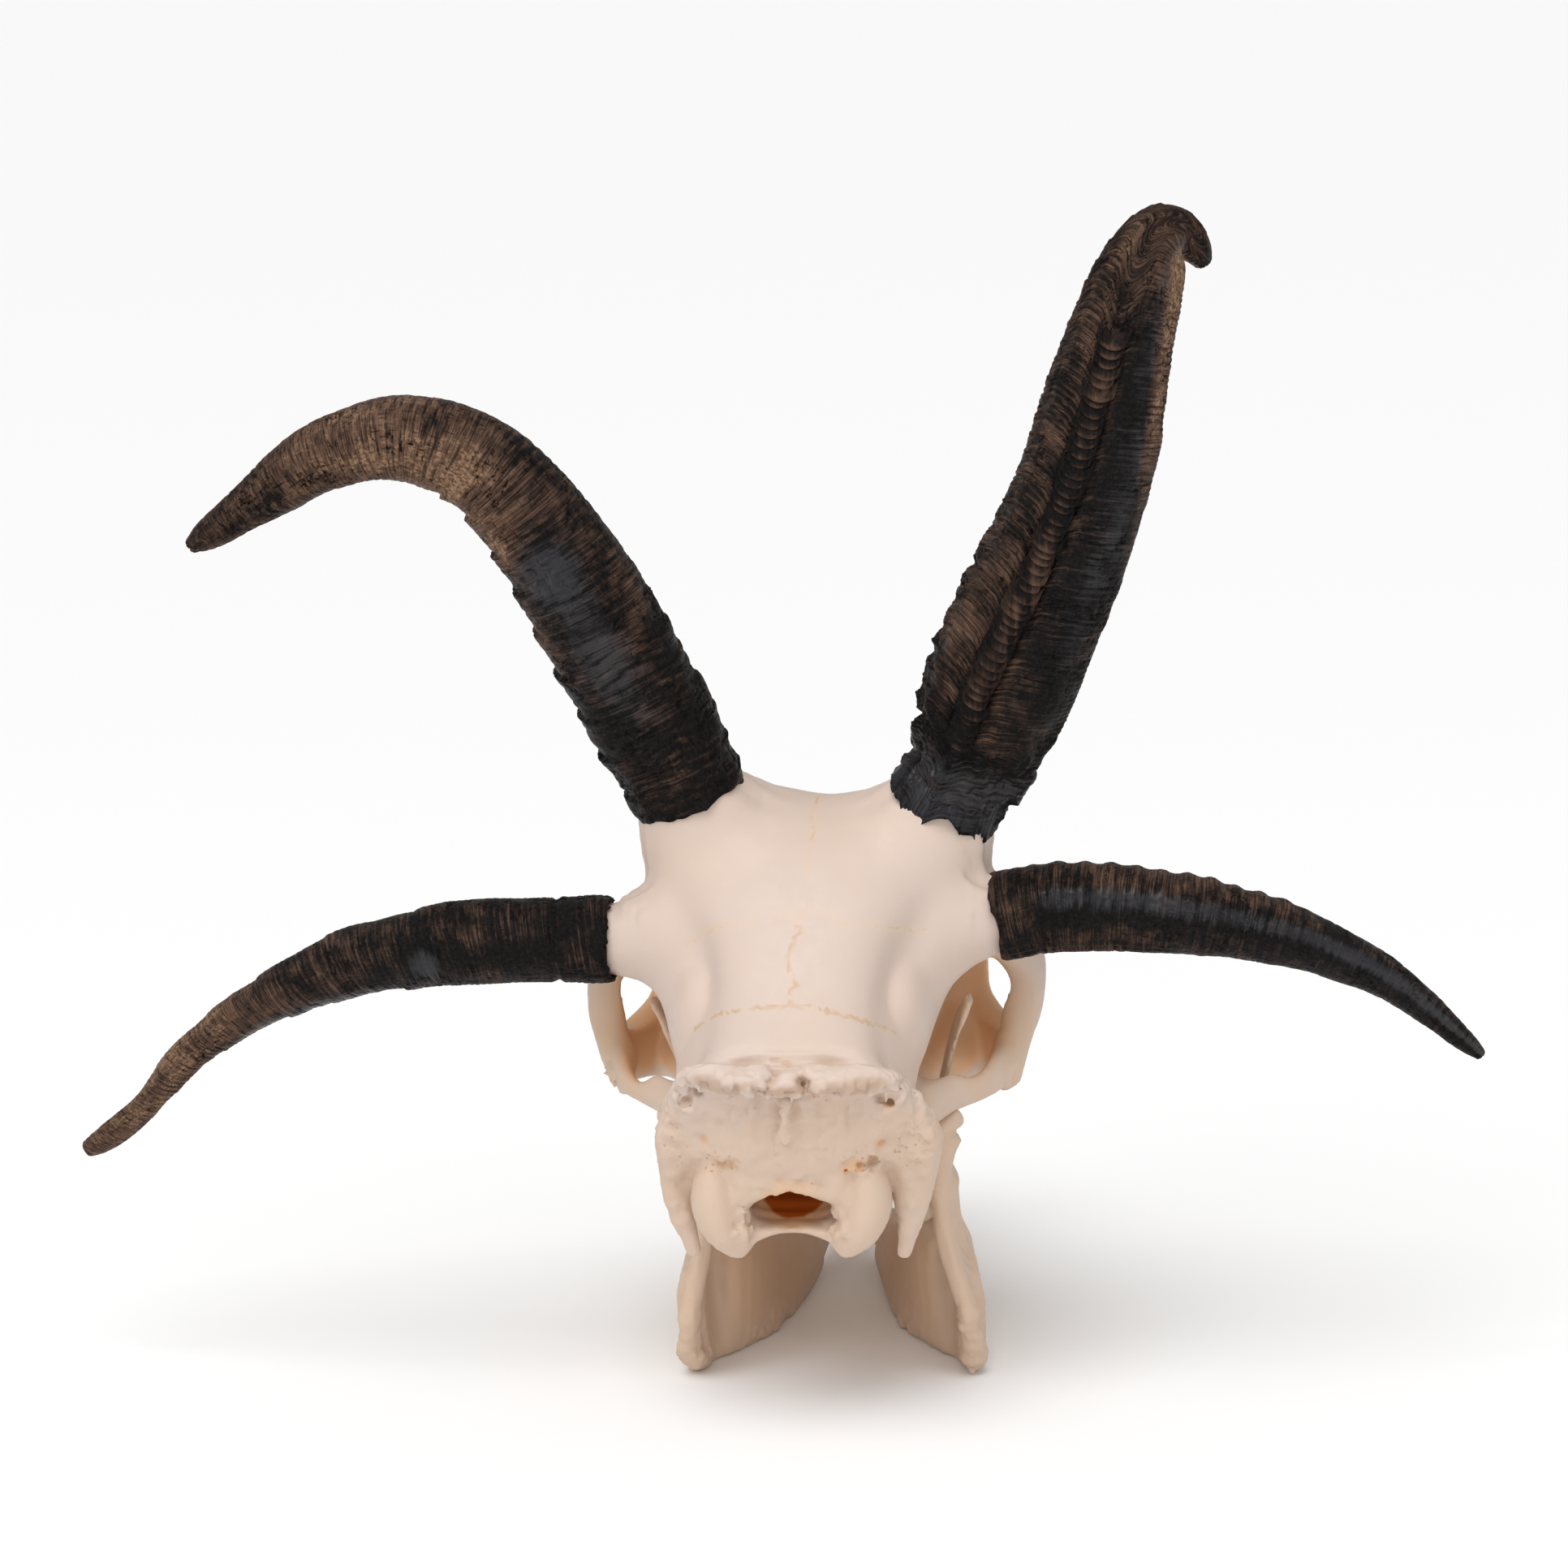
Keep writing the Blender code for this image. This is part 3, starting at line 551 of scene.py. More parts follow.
def jaw_marks(side):
    """What the bone's material reads on one half of the lower jaw."""
    def marks(points, field):
        """Creases for painted shade, a tan inner face and a rough angle, with no seams."""
        angle = fall(points, (side * 38, -60, 14), (15, 22, 30))
        inner = np.clip((33 - points[:, 0] * side) / 6, 0, 1) * np.clip((points[:, 2] - 8) / 10, 0, 1)
        return {"crease": field.crowding(points, 4),
                "stain": 0.10 + inner * 0.16, "rough": np.clip(angle * 0.9, 0, 0.7),
                "seam": np.full(len(points), NO_SEAM), "band": np.full(len(points), NO_SEAM)}
    return marks


ivory_bone = bone_material("ivory_bone", 0.0)
cream_bone = bone_material("cream_bone", 0.16)
for jaw_name, jaw_side in (("mandible_left", 1), ("mandible_right", -1)):
    jaw = bone_piece(jaw_name + "_bone", jaw_field(jaw_side), slide_jaw, JAW_FACES, jaw_sculpt(jaw_side),
                     jaw_marks(jaw_side), cream_bone)
    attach(jaw, "root")
    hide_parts(jaw_name)


# The lower teeth
# Six tall ridged cheek teeth in each half, worn flat on top, and four narrow cropping teeth
# side by side at the front. Each is enamel over dentine, rooted in its socket.

CHEEK_TEETH = (18.0, 16.0, 12.5, 8.5, 8.0, 7.0)
TOOTH_CELL, FRONT_TOOTH_CELL, TOOTH_FACES = 0.5, 0.4, 60000


def tooth_material():
    """Worn enamel: pale and glossy, brown in the grooves and towards the root."""
    material, nodes, shader = new_material("worn_enamel")
    place = nodes.make("ShaderNodeTexCoord", out="Object")
    crease = nodes.mark("crease")
    streak = nodes.noise(nodes.stretch(place, (900.0, 900.0, 90.0)), 1.0, 3.0)
    pale = nodes.tint(nodes.step(streak, 0.35, 0.7), (0.80, 0.70, 0.53, 1), (0.70, 0.55, 0.35, 1))
    brown = nodes.tint(nodes.step(crease + (streak - 0.5) * 0.2, 0.50, 0.72, 0.0, 0.85), pale,
                       (0.16, 0.085, 0.040, 1))
    gloss = nodes.step(streak, 0.3, 0.7, 0.22, 0.40)
    bump = nodes.make("ShaderNodeBump", None, {"Strength": 0.4, "Distance": 0.0002, "Height": streak})
    nodes.feed(shader, {"Base Color": brown, "Roughness": gloss, "Normal": bump})
    return material


def cheek_tooth(row, side, middle, out, length, wide, root, crown, lean):
    """One cheek tooth: two rounded lobes side by side, ribs on its outer face, cups on top."""
    for lobe in (-0.25, 0.25):
        y = middle + lobe * length
        row.bar([(side * (out - lean), y, root, wide, length * 0.27),
                 (side * out, y, crown, wide * 0.86, length * 0.25)], up=(0, 1, 0), power=2.6, blend=0.8,
                steps=2)
    for rib in (-0.46, 0.0, 0.46):
        y = middle + rib * length
        row.bar([(side * (out - lean + wide * 0.8), y, root, 0.9, 0.9),
                 (side * (out + wide * 0.72), y, crown, 0.7, 0.7)], up=(0, 1, 0), blend=0.9, steps=2)
    toward = 1.0 if crown > root else -1.0
    for lobe in (-0.25, 0.25):
        row.egg((side * out, middle + lobe * length, crown + toward * 0.4),
                (wide * 0.34, length * 0.15, 1.5), blend=0.6, dig=True)


def teeth_piece(name, row, place, material):
    """A row of teeth as one piece."""
    def ripple(points, normals):
        """Faint ripples down the enamel."""
        return normals * (grain(points * np.array([1, 1, 0.3]), 0.8, 31) * 0.06)[:, None]

    def marks(points, field):
        """Brown creases between the lobes."""
        return {"crease": field.crowding(points, 2.2)}

    return bone_piece(name, row, place, TOOTH_FACES, ripple, marks, material)


worn_enamel = tooth_material()
for jaw_name, side in (("left", 1), ("right", -1)):
    low, high = sorted((side * 6.0, side * 42.0))
    row = BoneField((low, -168, 12), (high, -84, 56), TOOTH_CELL)
    front = -90.0
    for number, length in enumerate(CHEEK_TEETH):
        middle = front - length / 2
        front -= length
        along = (-middle - 92.0) / 70.0
        cheek_tooth(row, side, middle, 30.2 - 14.6 * along, length, 4.0 - 0.42 * number,
                    32.5 - 11.0 * along, 45.3 - 13.5 * along, -0.2)
    teeth = teeth_piece("lower_cheek_teeth_" + jaw_name, row, slide_jaw, worn_enamel)
    low, high = sorted((side * 0.5, side * 22.0))
    row = BoneField((low, -238, 12), (high, -200, 40), FRONT_TOOTH_CELL)
    for number, (out, lean) in enumerate(((2.6, 0.02), (6.8, 0.05), (10.6, 0.10), (13.6, 0.16))):
        root = np.array((side * out * 0.80, -211.5 + number * 2.0, 20.6))
        tip = np.array((side * (out + lean * 9.0), -226.2 + number * 2.4, 29.8 - number * 0.4))
        row.bar([(*root, 1.3, 1.2), (*(root * 0.5 + tip * 0.5), 1.6, 1.5),
                 (*(root * 0.2 + tip * 0.8), 2.2, 1.1), (*tip, 2.4, 0.7)], power=2.6, blend=0.3, steps=2)
    crop = teeth_piece("lower_front_teeth_" + jaw_name, row, slide_jaw, worn_enamel)
    for made in (teeth, crop):
        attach(made, "root")
        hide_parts("mandible_" + jaw_name)


# The cranium
# The upper skull, one bone grown together from many plates whose seams still show. A thin
# vault round the brain, a thick rough crest and two smooth joints behind, arches round the
# eyes, a long hollow face, and four bony cores on the brow that carry the horns.

NOSE_UP = math.radians(8.0)
LEAN_FROM_Z, LEAN = 95.0, -0.058
LEFT_CHEEK, RIGHT_CHEEK = 0.99, -0.99 * 1.045
CRANIUM_CELL, CRANIUM_FACES = 0.9, 192000
# Each horn's middle line, from the open end to the tip: place, half width and half depth.
HORNS = {
    "upper_left": (
        (28.7, -52.0, 170.0, 16.6, 15.0), (37.3, -45.0, 190.4, 17.4, 15.6), (46.4, -38.0, 210.6, 17.0, 15.2),
        (55.3, -31.3, 229.9, 16.3, 14.4), (65.8, -25.1, 248.6, 14.8, 13.2), (79.6, -20.3, 264.2, 13.0, 12.0),
        (99.0, -17.0, 271.2, 12.0, 11.0), (119.6, -17.0, 266.0, 9.9, 9.4), (137.9, -20.1, 254.4, 7.2, 7.2),
        (150.5, -23.8, 246.0, 4.8, 5.0), (156.9, -26.0, 241.8, 2.2, 2.4)),
    "upper_right": (
        (-39.6, -52.0, 167.3, 17.3, 14.0), (-49.1, -44.0, 186.1, 18.7, 15.0),
        (-56.8, -36.0, 205.3, 20.2, 15.2), (-64.9, -29.3, 223.8, 19.6, 14.6),
        (-72.6, -23.1, 242.1, 18.6, 13.8), (-79.1, -18.2, 260.2, 17.4, 12.8),
        (-84.1, -14.7, 278.8, 16.2, 11.6), (-88.8, -12.6, 296.2, 14.2, 10.4),
        (-92.8, -14.2, 310.0, 12.2, 9.0), (-97.4, -18.6, 319.6, 9.4, 7.8),
        (-102.8, -25.0, 321.6, 6.6, 6.4), (-107.4, -30.0, 317.0, 4.8, 5.0),
        (-110.0, -33.0, 312.4, 2.6, 2.8)),
    "lower_left": (
        (52.4, -48.0, 130.8, 12.3, 11.6), (70.0, -48.7, 130.4, 12.4, 11.6), (87.7, -49.5, 129.8, 12.2, 11.4),
        (105.4, -51.1, 127.3, 11.2, 10.6), (123.4, -54.8, 122.6, 9.8, 9.4), (140.6, -58.5, 115.0, 7.9, 7.8),
        (157.4, -63.7, 105.1, 6.7, 6.8), (173.0, -69.8, 92.2, 5.5, 5.8), (186.8, -75.9, 76.7, 4.5, 4.8),
        (197.0, -79.8, 68.2, 4.2, 4.4), (204.0, -82.0, 63.6, 2.6, 2.8)),
    "lower_right": (
        (-52.6, -50.0, 135.9, 12.7, 12.0), (-68.1, -50.7, 138.6, 12.9, 12.0),
        (-83.8, -51.5, 138.3, 12.4, 11.6), (-99.4, -53.1, 136.6, 11.7, 11.0),
        (-114.8, -56.8, 133.3, 10.8, 10.2), (-130.1, -60.5, 128.8, 9.4, 9.2),
        (-145.0, -65.7, 122.1, 7.8, 7.8), (-159.2, -71.8, 113.2, 6.4, 6.6),
        (-172.0, -77.9, 101.6, 4.6, 4.8), (-179.0, -81.2, 94.8, 3.4, 3.6),
        (-184.0, -84.0, 89.8, 1.8, 2.0)),
}


def tip_cranium(points):
    """Points of the level cranium, leaned and tipped nose up about the jaw joints."""
    x = points[:, 0] + LEAN * np.maximum(0.0, points[:, 2] - LEAN_FROM_Z)
    back, up = points[:, 1] - JOINT_Y, points[:, 2] - JOINT_Z
    cosine, sine = math.cos(NOSE_UP), math.sin(NOSE_UP)
    return to_row(np.stack([x, JOINT_Y + back * cosine + up * sine, JOINT_Z + up * cosine - back * sine], 1))


def level_point(point):
    """A place of the tipped cranium back in the level one."""
    x, y, z = point
    back, up = y - JOINT_Y, z - JOINT_Z
    cosine, sine = math.cos(NOSE_UP), math.sin(NOSE_UP)
    level_z = JOINT_Z + up * cosine + back * sine
    return np.array([x - LEAN * max(0.0, level_z - LEAN_FROM_Z), JOINT_Y + back * cosine - up * sine,
                     level_z])


def braincase(bone):
    """The vault, the flat base under it and the thick back wall."""
    bone.egg((0, -41, 106), (33, 38, 26), pitch=24, blend=8)
    bone.egg((0, -24, 100), (30, 22, 22), pitch=10, blend=8)
    bone.bar([(0, 5.4, 111.6, 24.5, 2.4), (0, 0.5, 111.6, 25, 5.0), (0, -8, 113.4, 22, 8.6),
              (0, -21, 121, 20.5, 10), (0, -37, 133.5, 24, 12),
              (0, -50, 142, 33, 14), (0, -63, 147, 39.5, 15), (0, -82, 145, 42.5, 15),
              (0, -100, 135.5, 42, 14), (0, -116, 124, 32, 12), (0, -132, 114.5, 20, 10),
              (0, -150, 105, 14, 9)], power=2.6, blend=7, cap=0.2)
    bone.bar([(0, -14, 68.2, 13.0, 3.4), (0, -28, 70, 12, 7), (0, -52, 76, 11, 9), (0, -76, 84, 9, 9)],
             power=2.4, blend=3)
    bone.egg((0, -10, 92), (29, 9, 17), blend=5)
    for side in (1, -1):
        bone.egg((side * 24, -54, 118), (14, 20, 17), blend=8)
        bone.egg((side * 31, -62, 129), (10, 14, 9), blend=8)


def occiput(bone):
    """The crest's two lobes and middle knob, the ridge under it, the joints and side processes."""
    for side in (1, -1):
        bone.egg((side * 6.4, 3.4, 99.5), (5.2, 5.6, 8.6), blend=1.6, dig=True)
        bone.egg((side * 18.6, 2.6, 99.5), (5.6, 5.6, 8.4), blend=1.6, dig=True)
        bone.egg((side * 26.5, -1.0, 98), (3.6, 5.0, 5.5), blend=1.6, dig=True)
    bone.bar([(0.8, 3.0, 106, 1.5, 1.8), (0.6, 0.0, 96, 1.0, 1.3), (1.2, -2.6, 86, 1.0, 1.2)],
             up=(0, 1, 0), blend=2)
    bone.bar([(28.5, -3.4, 111.5, 2.4, 2.4), (24, 1.6, 112.8, 3.2, 2.6), (17.5, 5.2, 112.4, 3.8, 2.9),
              (10.5, 6.8, 111.8, 4.2, 3.0), (5.4, 6.0, 113.6, 2.8, 2.2)], blend=3.5, steps=2)
    bone.bar([(-28.5, -3.4, 110.4, 2.4, 2.6), (-24, 1.4, 111.2, 3.2, 2.8), (-17, 5.2, 112.2, 3.8, 2.9),
              (-9.8, 6.8, 111.4, 4.4, 3.2), (-4.8, 6.0, 113.8, 2.8, 2.2)], blend=3.5, steps=2)
    for x, y, z in ((20.5, 7.0, 108.8), (12.6, 9.6, 108.2), (4.6, 9.0, 109.4), (-4.2, 9.0, 110.6),
                    (-12.8, 9.8, 108.0), (-19.4, 7.0, 107.8), (25.6, 3.6, 109.4), (-25.4, 3.4, 107.6)):
        bone.egg((x, y, z), (1.1, 2.6, 2.8), roll=x * 2, blend=1.6, dig=True)
    bone.egg((0.7, 6.4, 110.6), (4.8, 3.4, 3.7), blend=0.5)
    bone.egg((3.9, 9.4, 114.6), (1.6, 1.6, 1.4), blend=0.6, dig=True)
    bone.bar([(28.5, -7, 108, 2.6, 5), (32.2, -11, 100, 2.4, 5), (33.4, -11.5, 91, 2.4, 4.6),
              (31.6, -12, 82, 2.4, 4)], up=(0, 1, 0), blend=3)
    bone.bar([(-29, -7, 107, 2.6, 5), (-34.4, -11, 99, 2.8, 5), (-37.2, -11.5, 91, 2.8, 4.6),
              (-35.4, -12, 82, 2.4, 4)], up=(0, 1, 0), blend=3)
    bone.bar([(24.5, -5, 104, 6.5, 5), (27, -9, 97, 7.0, 4.6), (28, -11.5, 87, 6.8, 4.0),
              (30, -13.6, 77, 5.0, 3.6), (29.4, -14.6, 66, 3.0, 3.0), (27.0, -15, 56.5, 2.0, 2.2)],
             up=(0, 1, 0), blend=3)
    bone.bar([(-25.5, -5, 104, 6.5, 5), (-29, -9, 97, 8.0, 4.8), (-30.4, -11.5, 87, 8.4, 4.2),
              (-31.6, -13.6, 77, 6.2, 3.6), (-31.0, -14.6, 66, 3.4, 3.0), (-29.0, -15, 56.0, 2.0, 2.2)],
             up=(0, 1, 0), blend=3)
    for side in (1, -1):
        bone.bar(mirrored(side, [(20.2, -8.8, 84.0, 3.0, 3.6), (20.6, -7.8, 79.5, 5.4, 6.6),
                                 (20.2, -7.4, 73.5, 6.4, 7.8), (18.4, -7.6, 67.0, 5.4, 7.8),
                                 (15.2, -8.2, 61.8, 3.4, 5.4), (13.4, -8.8, 60.2, 1.8, 3.2)]),
                 up=(0, 1, 0), blend=1.0)
        bone.bar(mirrored(side, [(17.4, -9.0, 76.0, 3.4, 5.4), (15.0, -8.2, 71.0, 3.6, 6.0),
                                 (13.4, -8.0, 66.0, 3.2, 5.8), (12.6, -8.6, 62.0, 2.2, 4.4)]),
                 up=(0, 1, 0), blend=1.4)
        bone.bar(mirrored(side, [(13.6, -9.2, 63.0, 3.0, 4.0), (9.6, -9.8, 64.6, 2.2, 4.2),
                                 (5.4, -10.6, 65.6, 1.5, 4.0), (1.0, -11.2, 66.0, 1.3, 3.6),
                                 (-2.0, -11.2, 66.0, 1.2, 3.2)]), up=(0, 1, 0), blend=1.2)
        bone.bar(mirrored(side, [(13.4, -1.4, 79.4, 0.8, 0.9), (16.4, -2.6, 84.6, 0.9, 0.9),
                                 (21.2, -4.2, 87.0, 0.9, 0.9), (26.6, -8.0, 83, 0.9, 0.9),
                                 (28.0, -10, 75, 0.9, 0.9), (25.0, -11.5, 66, 0.9, 0.9)]), blend=1.2,
                 dig=True)
        bone.bar(mirrored(side, [(8, -13, 67.4, 2.6, 2.6), (12.4, -10.0, 69.4, 3.2, 3.4),
                                 (14.0, -7.6, 75, 3.4, 4.4), (12.0, -6.4, 81, 4.0, 4.0)]), up=(0, 1, 0),
                 blend=1.6)
        bone.bar(mirrored(side, [(14, -7.5, 76.2, 3.2, 4.0), (8, -7.0, 77.8, 3.0, 4.0),
                                 (3, -6.6, 79.6, 3.0, 4.0), (-1, -6.6, 80.4, 3.0, 4.0)]), up=(0, 1, 0),
                 blend=2.0)
        bone.egg((side * 21, -40, 67), (8, 13, 9), blend=3)
        bone.bar(mirrored(side, [(23, -22, 83, 8, 8), (26.5, -34, 85, 7, 7), (28, -46, 86, 6.5, 5.5)]),
                 blend=5)


def cheek_arch(bone):
    """The jaw joint, the arch before it, the post behind the eye and the eye's rim, wider right."""
    for side in (LEFT_CHEEK, RIGHT_CHEEK):
        bone.bar(mirrored(side, [(24, -50, 88, 6, 7), (30, -50, 86, 8, 5.5), (34, -49, 85, 7, 3.6)]),
                 blend=5)
        bone.bar(mirrored(side, [(33, -45, 86.0, 2.6, 5.2), (39, -53, 86.4, 2.2, 5.4),
                                 (47, -62, 86.6, 2.4, 5.6), (51.5, -72, 86.6, 3.2, 6.4),
                                 (53, -85, 85, 3.6, 7.5), (49.5, -101, 82, 4.4, 9.5),
                                 (42, -116, 79, 6, 10.5)]), blend=4)
        bone.bar(mirrored(side, [(52.5, -75, 85, 4, 4), (55, -78, 94, 3.8, 4.8),
                                 (56, -80.5, 103, 3.8, 5.1), (56.5, -81, 113, 4.4, 5.6),
                                 (51.5, -79, 122, 6.6, 6.6), (43, -76, 127, 9, 8)]), up=(1, 0, 0),
                 blend=4)
        rim = []
        for step in range(13):
            turn = 2 * math.pi * step / 12
            across, rise = 19.5 * math.cos(turn), 19.5 * math.sin(turn)
            rim.append((side * (50.5 + 0.42 * across), -98.5 + 0.9 * across, 106.5 + rise, 3.3, 3.1))
        bone.bar(rim, up=(side * 0.9, -0.42, 0), steps=2, blend=4)
        bone.bar(mirrored(side, [(34, -80, 128, 10, 8), (42, -93, 125, 9, 6), (40, -107, 120, 8, 7),
                                 (33, -122, 110, 7, 8)]), blend=5)
        bone.egg((side * 36, -119, 98), (9, 11, 21), yaw=side * -20, blend=4)
        bone.egg((side * 39, -110, 80), (9, 18, 11), yaw=side * 20, blend=4)


def face(bone):
    """The wall between the eyes, the upper jaw bones, the nose bones and the front splints."""
    bone.egg((0, -92, 112), (25, 36, 30), pitch=-8, blend=5)
    bone.bar([(0, -94, 104, 30, 34), (0, -108, 98, 35, 32), (0, -122, 94, 34.5, 29), (0, -138, 89, 30, 25.5),
              (0, -155, 84.5, 24.5, 22), (0, -172, 80, 19.5, 18.5), (0, -180, 78, 17.4, 16.8)],
             power=2.5, blend=4, cap=0.25)
    bone.bar([(0, -112, 130, 15, 7), (0, -128, 121, 14.5, 7), (0, -148, 110.5, 13, 6.5),
              (0, -168, 100, 11, 5.5), (0, -184, 92.4, 8.6, 4.2), (0, -195, 88.2, 6.4, 3.2)], power=2.4,
             blend=3)
    bone.soften((-54, -206, 48), (54, -62, 168), 4, 8.0)
    for side in (1, -1):
        bone.bar(mirrored(side, [(3.5, -186, 92.6, 4.4, 2.6), (3.6, -197, 88.8, 3.9, 2.1),
                                 (3.0, -206, 85.2, 2.6, 1.5)]), blend=1.5)
    for side in (1, -1):
        bone.bar(mirrored(side, [(27, -90, 74, 6, 8), (30.5, -104, 72, 6.5, 9), (31, -118, 71.5, 7, 9.5),
                                 (28.5, -134, 70.5, 6.5, 9), (25, -150, 69, 5.5, 8),
                                 (21.5, -164, 67, 4.5, 7), (18, -175, 68, 3.2, 6)]), power=2.6, blend=4)
        bone.bar(mirrored(side, [(15.5, -172, 80, 3, 8), (14, -188, 74, 2.6, 6.5),
                                 (11.5, -203, 69, 3, 4.2), (8, -214, 66.5, 4.2, 2.6),
                                 (5.5, -218.5, 65.5, 3.8, 2)]), blend=3)
        bone.bar(mirrored(side, [(4, -178, 67, 1.9, 2.8), (4.5, -196, 66, 1.7, 2.2),
                                 (5, -212, 65.5, 2.2, 1.8)]), blend=2)
        bone.bar(mirrored(side, [(12, -64, 82, 2.2, 8), (13, -78, 76, 1.6, 10), (15, -89, 72, 1.8, 9)]),
                 blend=3)
        bone.bar(mirrored(side, [(44, -118, 84, 4.5, 7), (37, -132, 78, 4, 5), (30, -142, 75, 3, 4)]),
                 blend=5)


def horn_cores(bone):
    """The bony cores on the brow, each running on inside its sheath."""
    for name, stations in HORNS.items():
        base, following = np.array(stations[0][:3]), np.array(stations[1][:3])
        wide, deep = stations[0][3:]
        axis = unit(following - base)
        upper = name.startswith("upper")
        if upper:
            inner = np.array((14.0, -63.0, 148.0) if "left" in name else (-24.0, -63.0, 146.0))
            root = 20.0
        else:
            inner = np.array((24.0, -50.0, 132.0) if "left" in name else (-30.0, -52.0, 132.0))
            root = 12.0
        near, end = base - axis * 9.0, base + axis * 12.0
        places = [inner, (inner + near) / 2, near, base, end]
        neck = 2.2 if name == "upper_right" else 0.0
        sizes = [(root, root), (wide + 1.0, deep + 1.0), (wide - 1.4, deep - 1.4),
                 (wide - 3.0 - neck, deep - 3.0 - neck), (wide - 5.5 - neck, deep - 5.5 - neck)]
        bone.bar([(*level_point(place), *size) for place, size in zip(places, sizes)], up=(0, 1, 0),
                 blend=12 if upper else 8)


def cavities(bone):
    """The brain's space, the nose, the throat, the eye sockets and the gaps inside the arches."""
    bone.bar([(-0.3, 8, 69.4, 11.4, 2.9), (-0.3, -4, 69.6, 11.4, 3.0), (-0.3, -9.5, 69.8, 11.2, 3.2),
              (0, -15, 72.6, 11, 5.6), (0, -24, 84, 14, 11), (0, -36, 97, 21, 15), (0, -52, 106, 22, 15),
              (0, -66, 110, 12, 8)], power=2.4, blend=1.2, dig=True)
    bone.bar([(0.4, 8, 70.8, 11.4, 6.4), (0.4, -10, 72.4, 11.4, 6.6)], power=1.3, blend=0.8, dig=True)
    bone.bar([(0, -232, 74, 12, 9), (0, -206, 75, 11.4, 9.4), (0, -188, 78, 11.6, 11.4),
              (0, -160, 86, 13, 12)], power=2.4, blend=2, dig=True)
    for side in (1, -1):
        bone.egg((side * 12.5, -189, 84), (6, 10, 6), pitch=-20, blend=2.5, dig=True)
    bone.bar([(0, -68, 66, 9, 9), (0, -86, 73, 11, 9), (0, -104, 79, 12, 8)], power=2.4, blend=2, dig=True)
    bone.bar([(0, -198, 60, 3, 12), (0, -210, 60, 3.2, 12)], blend=1.5, dig=True)
    for side in (1, -1):
        bone.egg((side * 48, -97.5, 106.5), (23, 17, 17), yaw=side * 24, blend=2, dig=True)
        bone.egg((side * 41, -84, 103), (9.5, 15, 15), blend=3, dig=True)
        bone.egg((side * 44, -64, 101), (8.5, 12, 13), blend=3, dig=True)
        bone.bar(mirrored(side, [(42, -62, 104, 6, 9), (40.5, -66, 92, 6.5, 10), (39, -74, 72, 7, 13)]),
                 up=(0, 1, 0), blend=3, dig=True)


# Each seam's places, the length and the swing of its zigzag, and how strongly it shows.
SEAMS = (
    ([(-0.5, -75, 160), (-0.5, -66, 163), (-0.7, -57.9, 161.0), (-1.0, -46.1, 156.0),
      (-2.0, -34.8, 147.8)], 2.4, 0.5, 0.4),
    ([(-2, -34.2, 147), (5.9, -32.6, 145.3), (14.4, -32.5, 143.6), (23.3, -35.9, 140.3),
      (31, -41, 134)], 1.6, 0.5, 0.0),
    ([(-2, -34.2, 147), (-8.8, -31.9, 144.4), (-13.6, -31.8, 143.2), (-24.1, -36.8, 140.2),
      (-32.4, -46.4, 136.2)], 1.6, 0.5, 0.0),
    ([(0.4, -31.2, 144.2), (1.2, -26.8, 140.1), (2.2, -22.6, 136), (0.6, -18.4, 131.9), (1.5, -13.7, 128)],
     1.5, 1.3, 0.8),
    ([(24.9, -26, 114.5), (20.2, -18.5, 121.6), (12.4, -13.1, 126), (1.7, -12.7, 127.2),
      (-6.9, -12.2, 126.7), (-17.5, -13.3, 122.9), (-23.6, -23.3, 114)], 1.1, 0.7, 0.8),
    ([(0, -116, 137), (0, -132, 128), (0, -150, 117.5), (0, -170, 105.5), (0, -186, 95)], 1.8, 0.3, 0.9),
    ([(10, -118, 133), (13.5, -132, 122), (13, -150, 109), (11.5, -170, 98)], 2.0, 0.3, 0.6),
    ([(-10, -118, 133), (-13.5, -132, 122), (-13, -150, 109), (-11.5, -170, 98)], 2.0, 0.3, 0.6),
    ([(24, -118, 120), (30, -128, 108), (30, -134, 92), (34, -128, 84), (41, -114, 80)], 1.7, 0.6, 0.7),
    ([(-24, -118, 120), (-30, -128, 108), (-30, -134, 92), (-34, -128, 84), (-41, -114, 80)], 1.7, 0.6, 0.7),
)


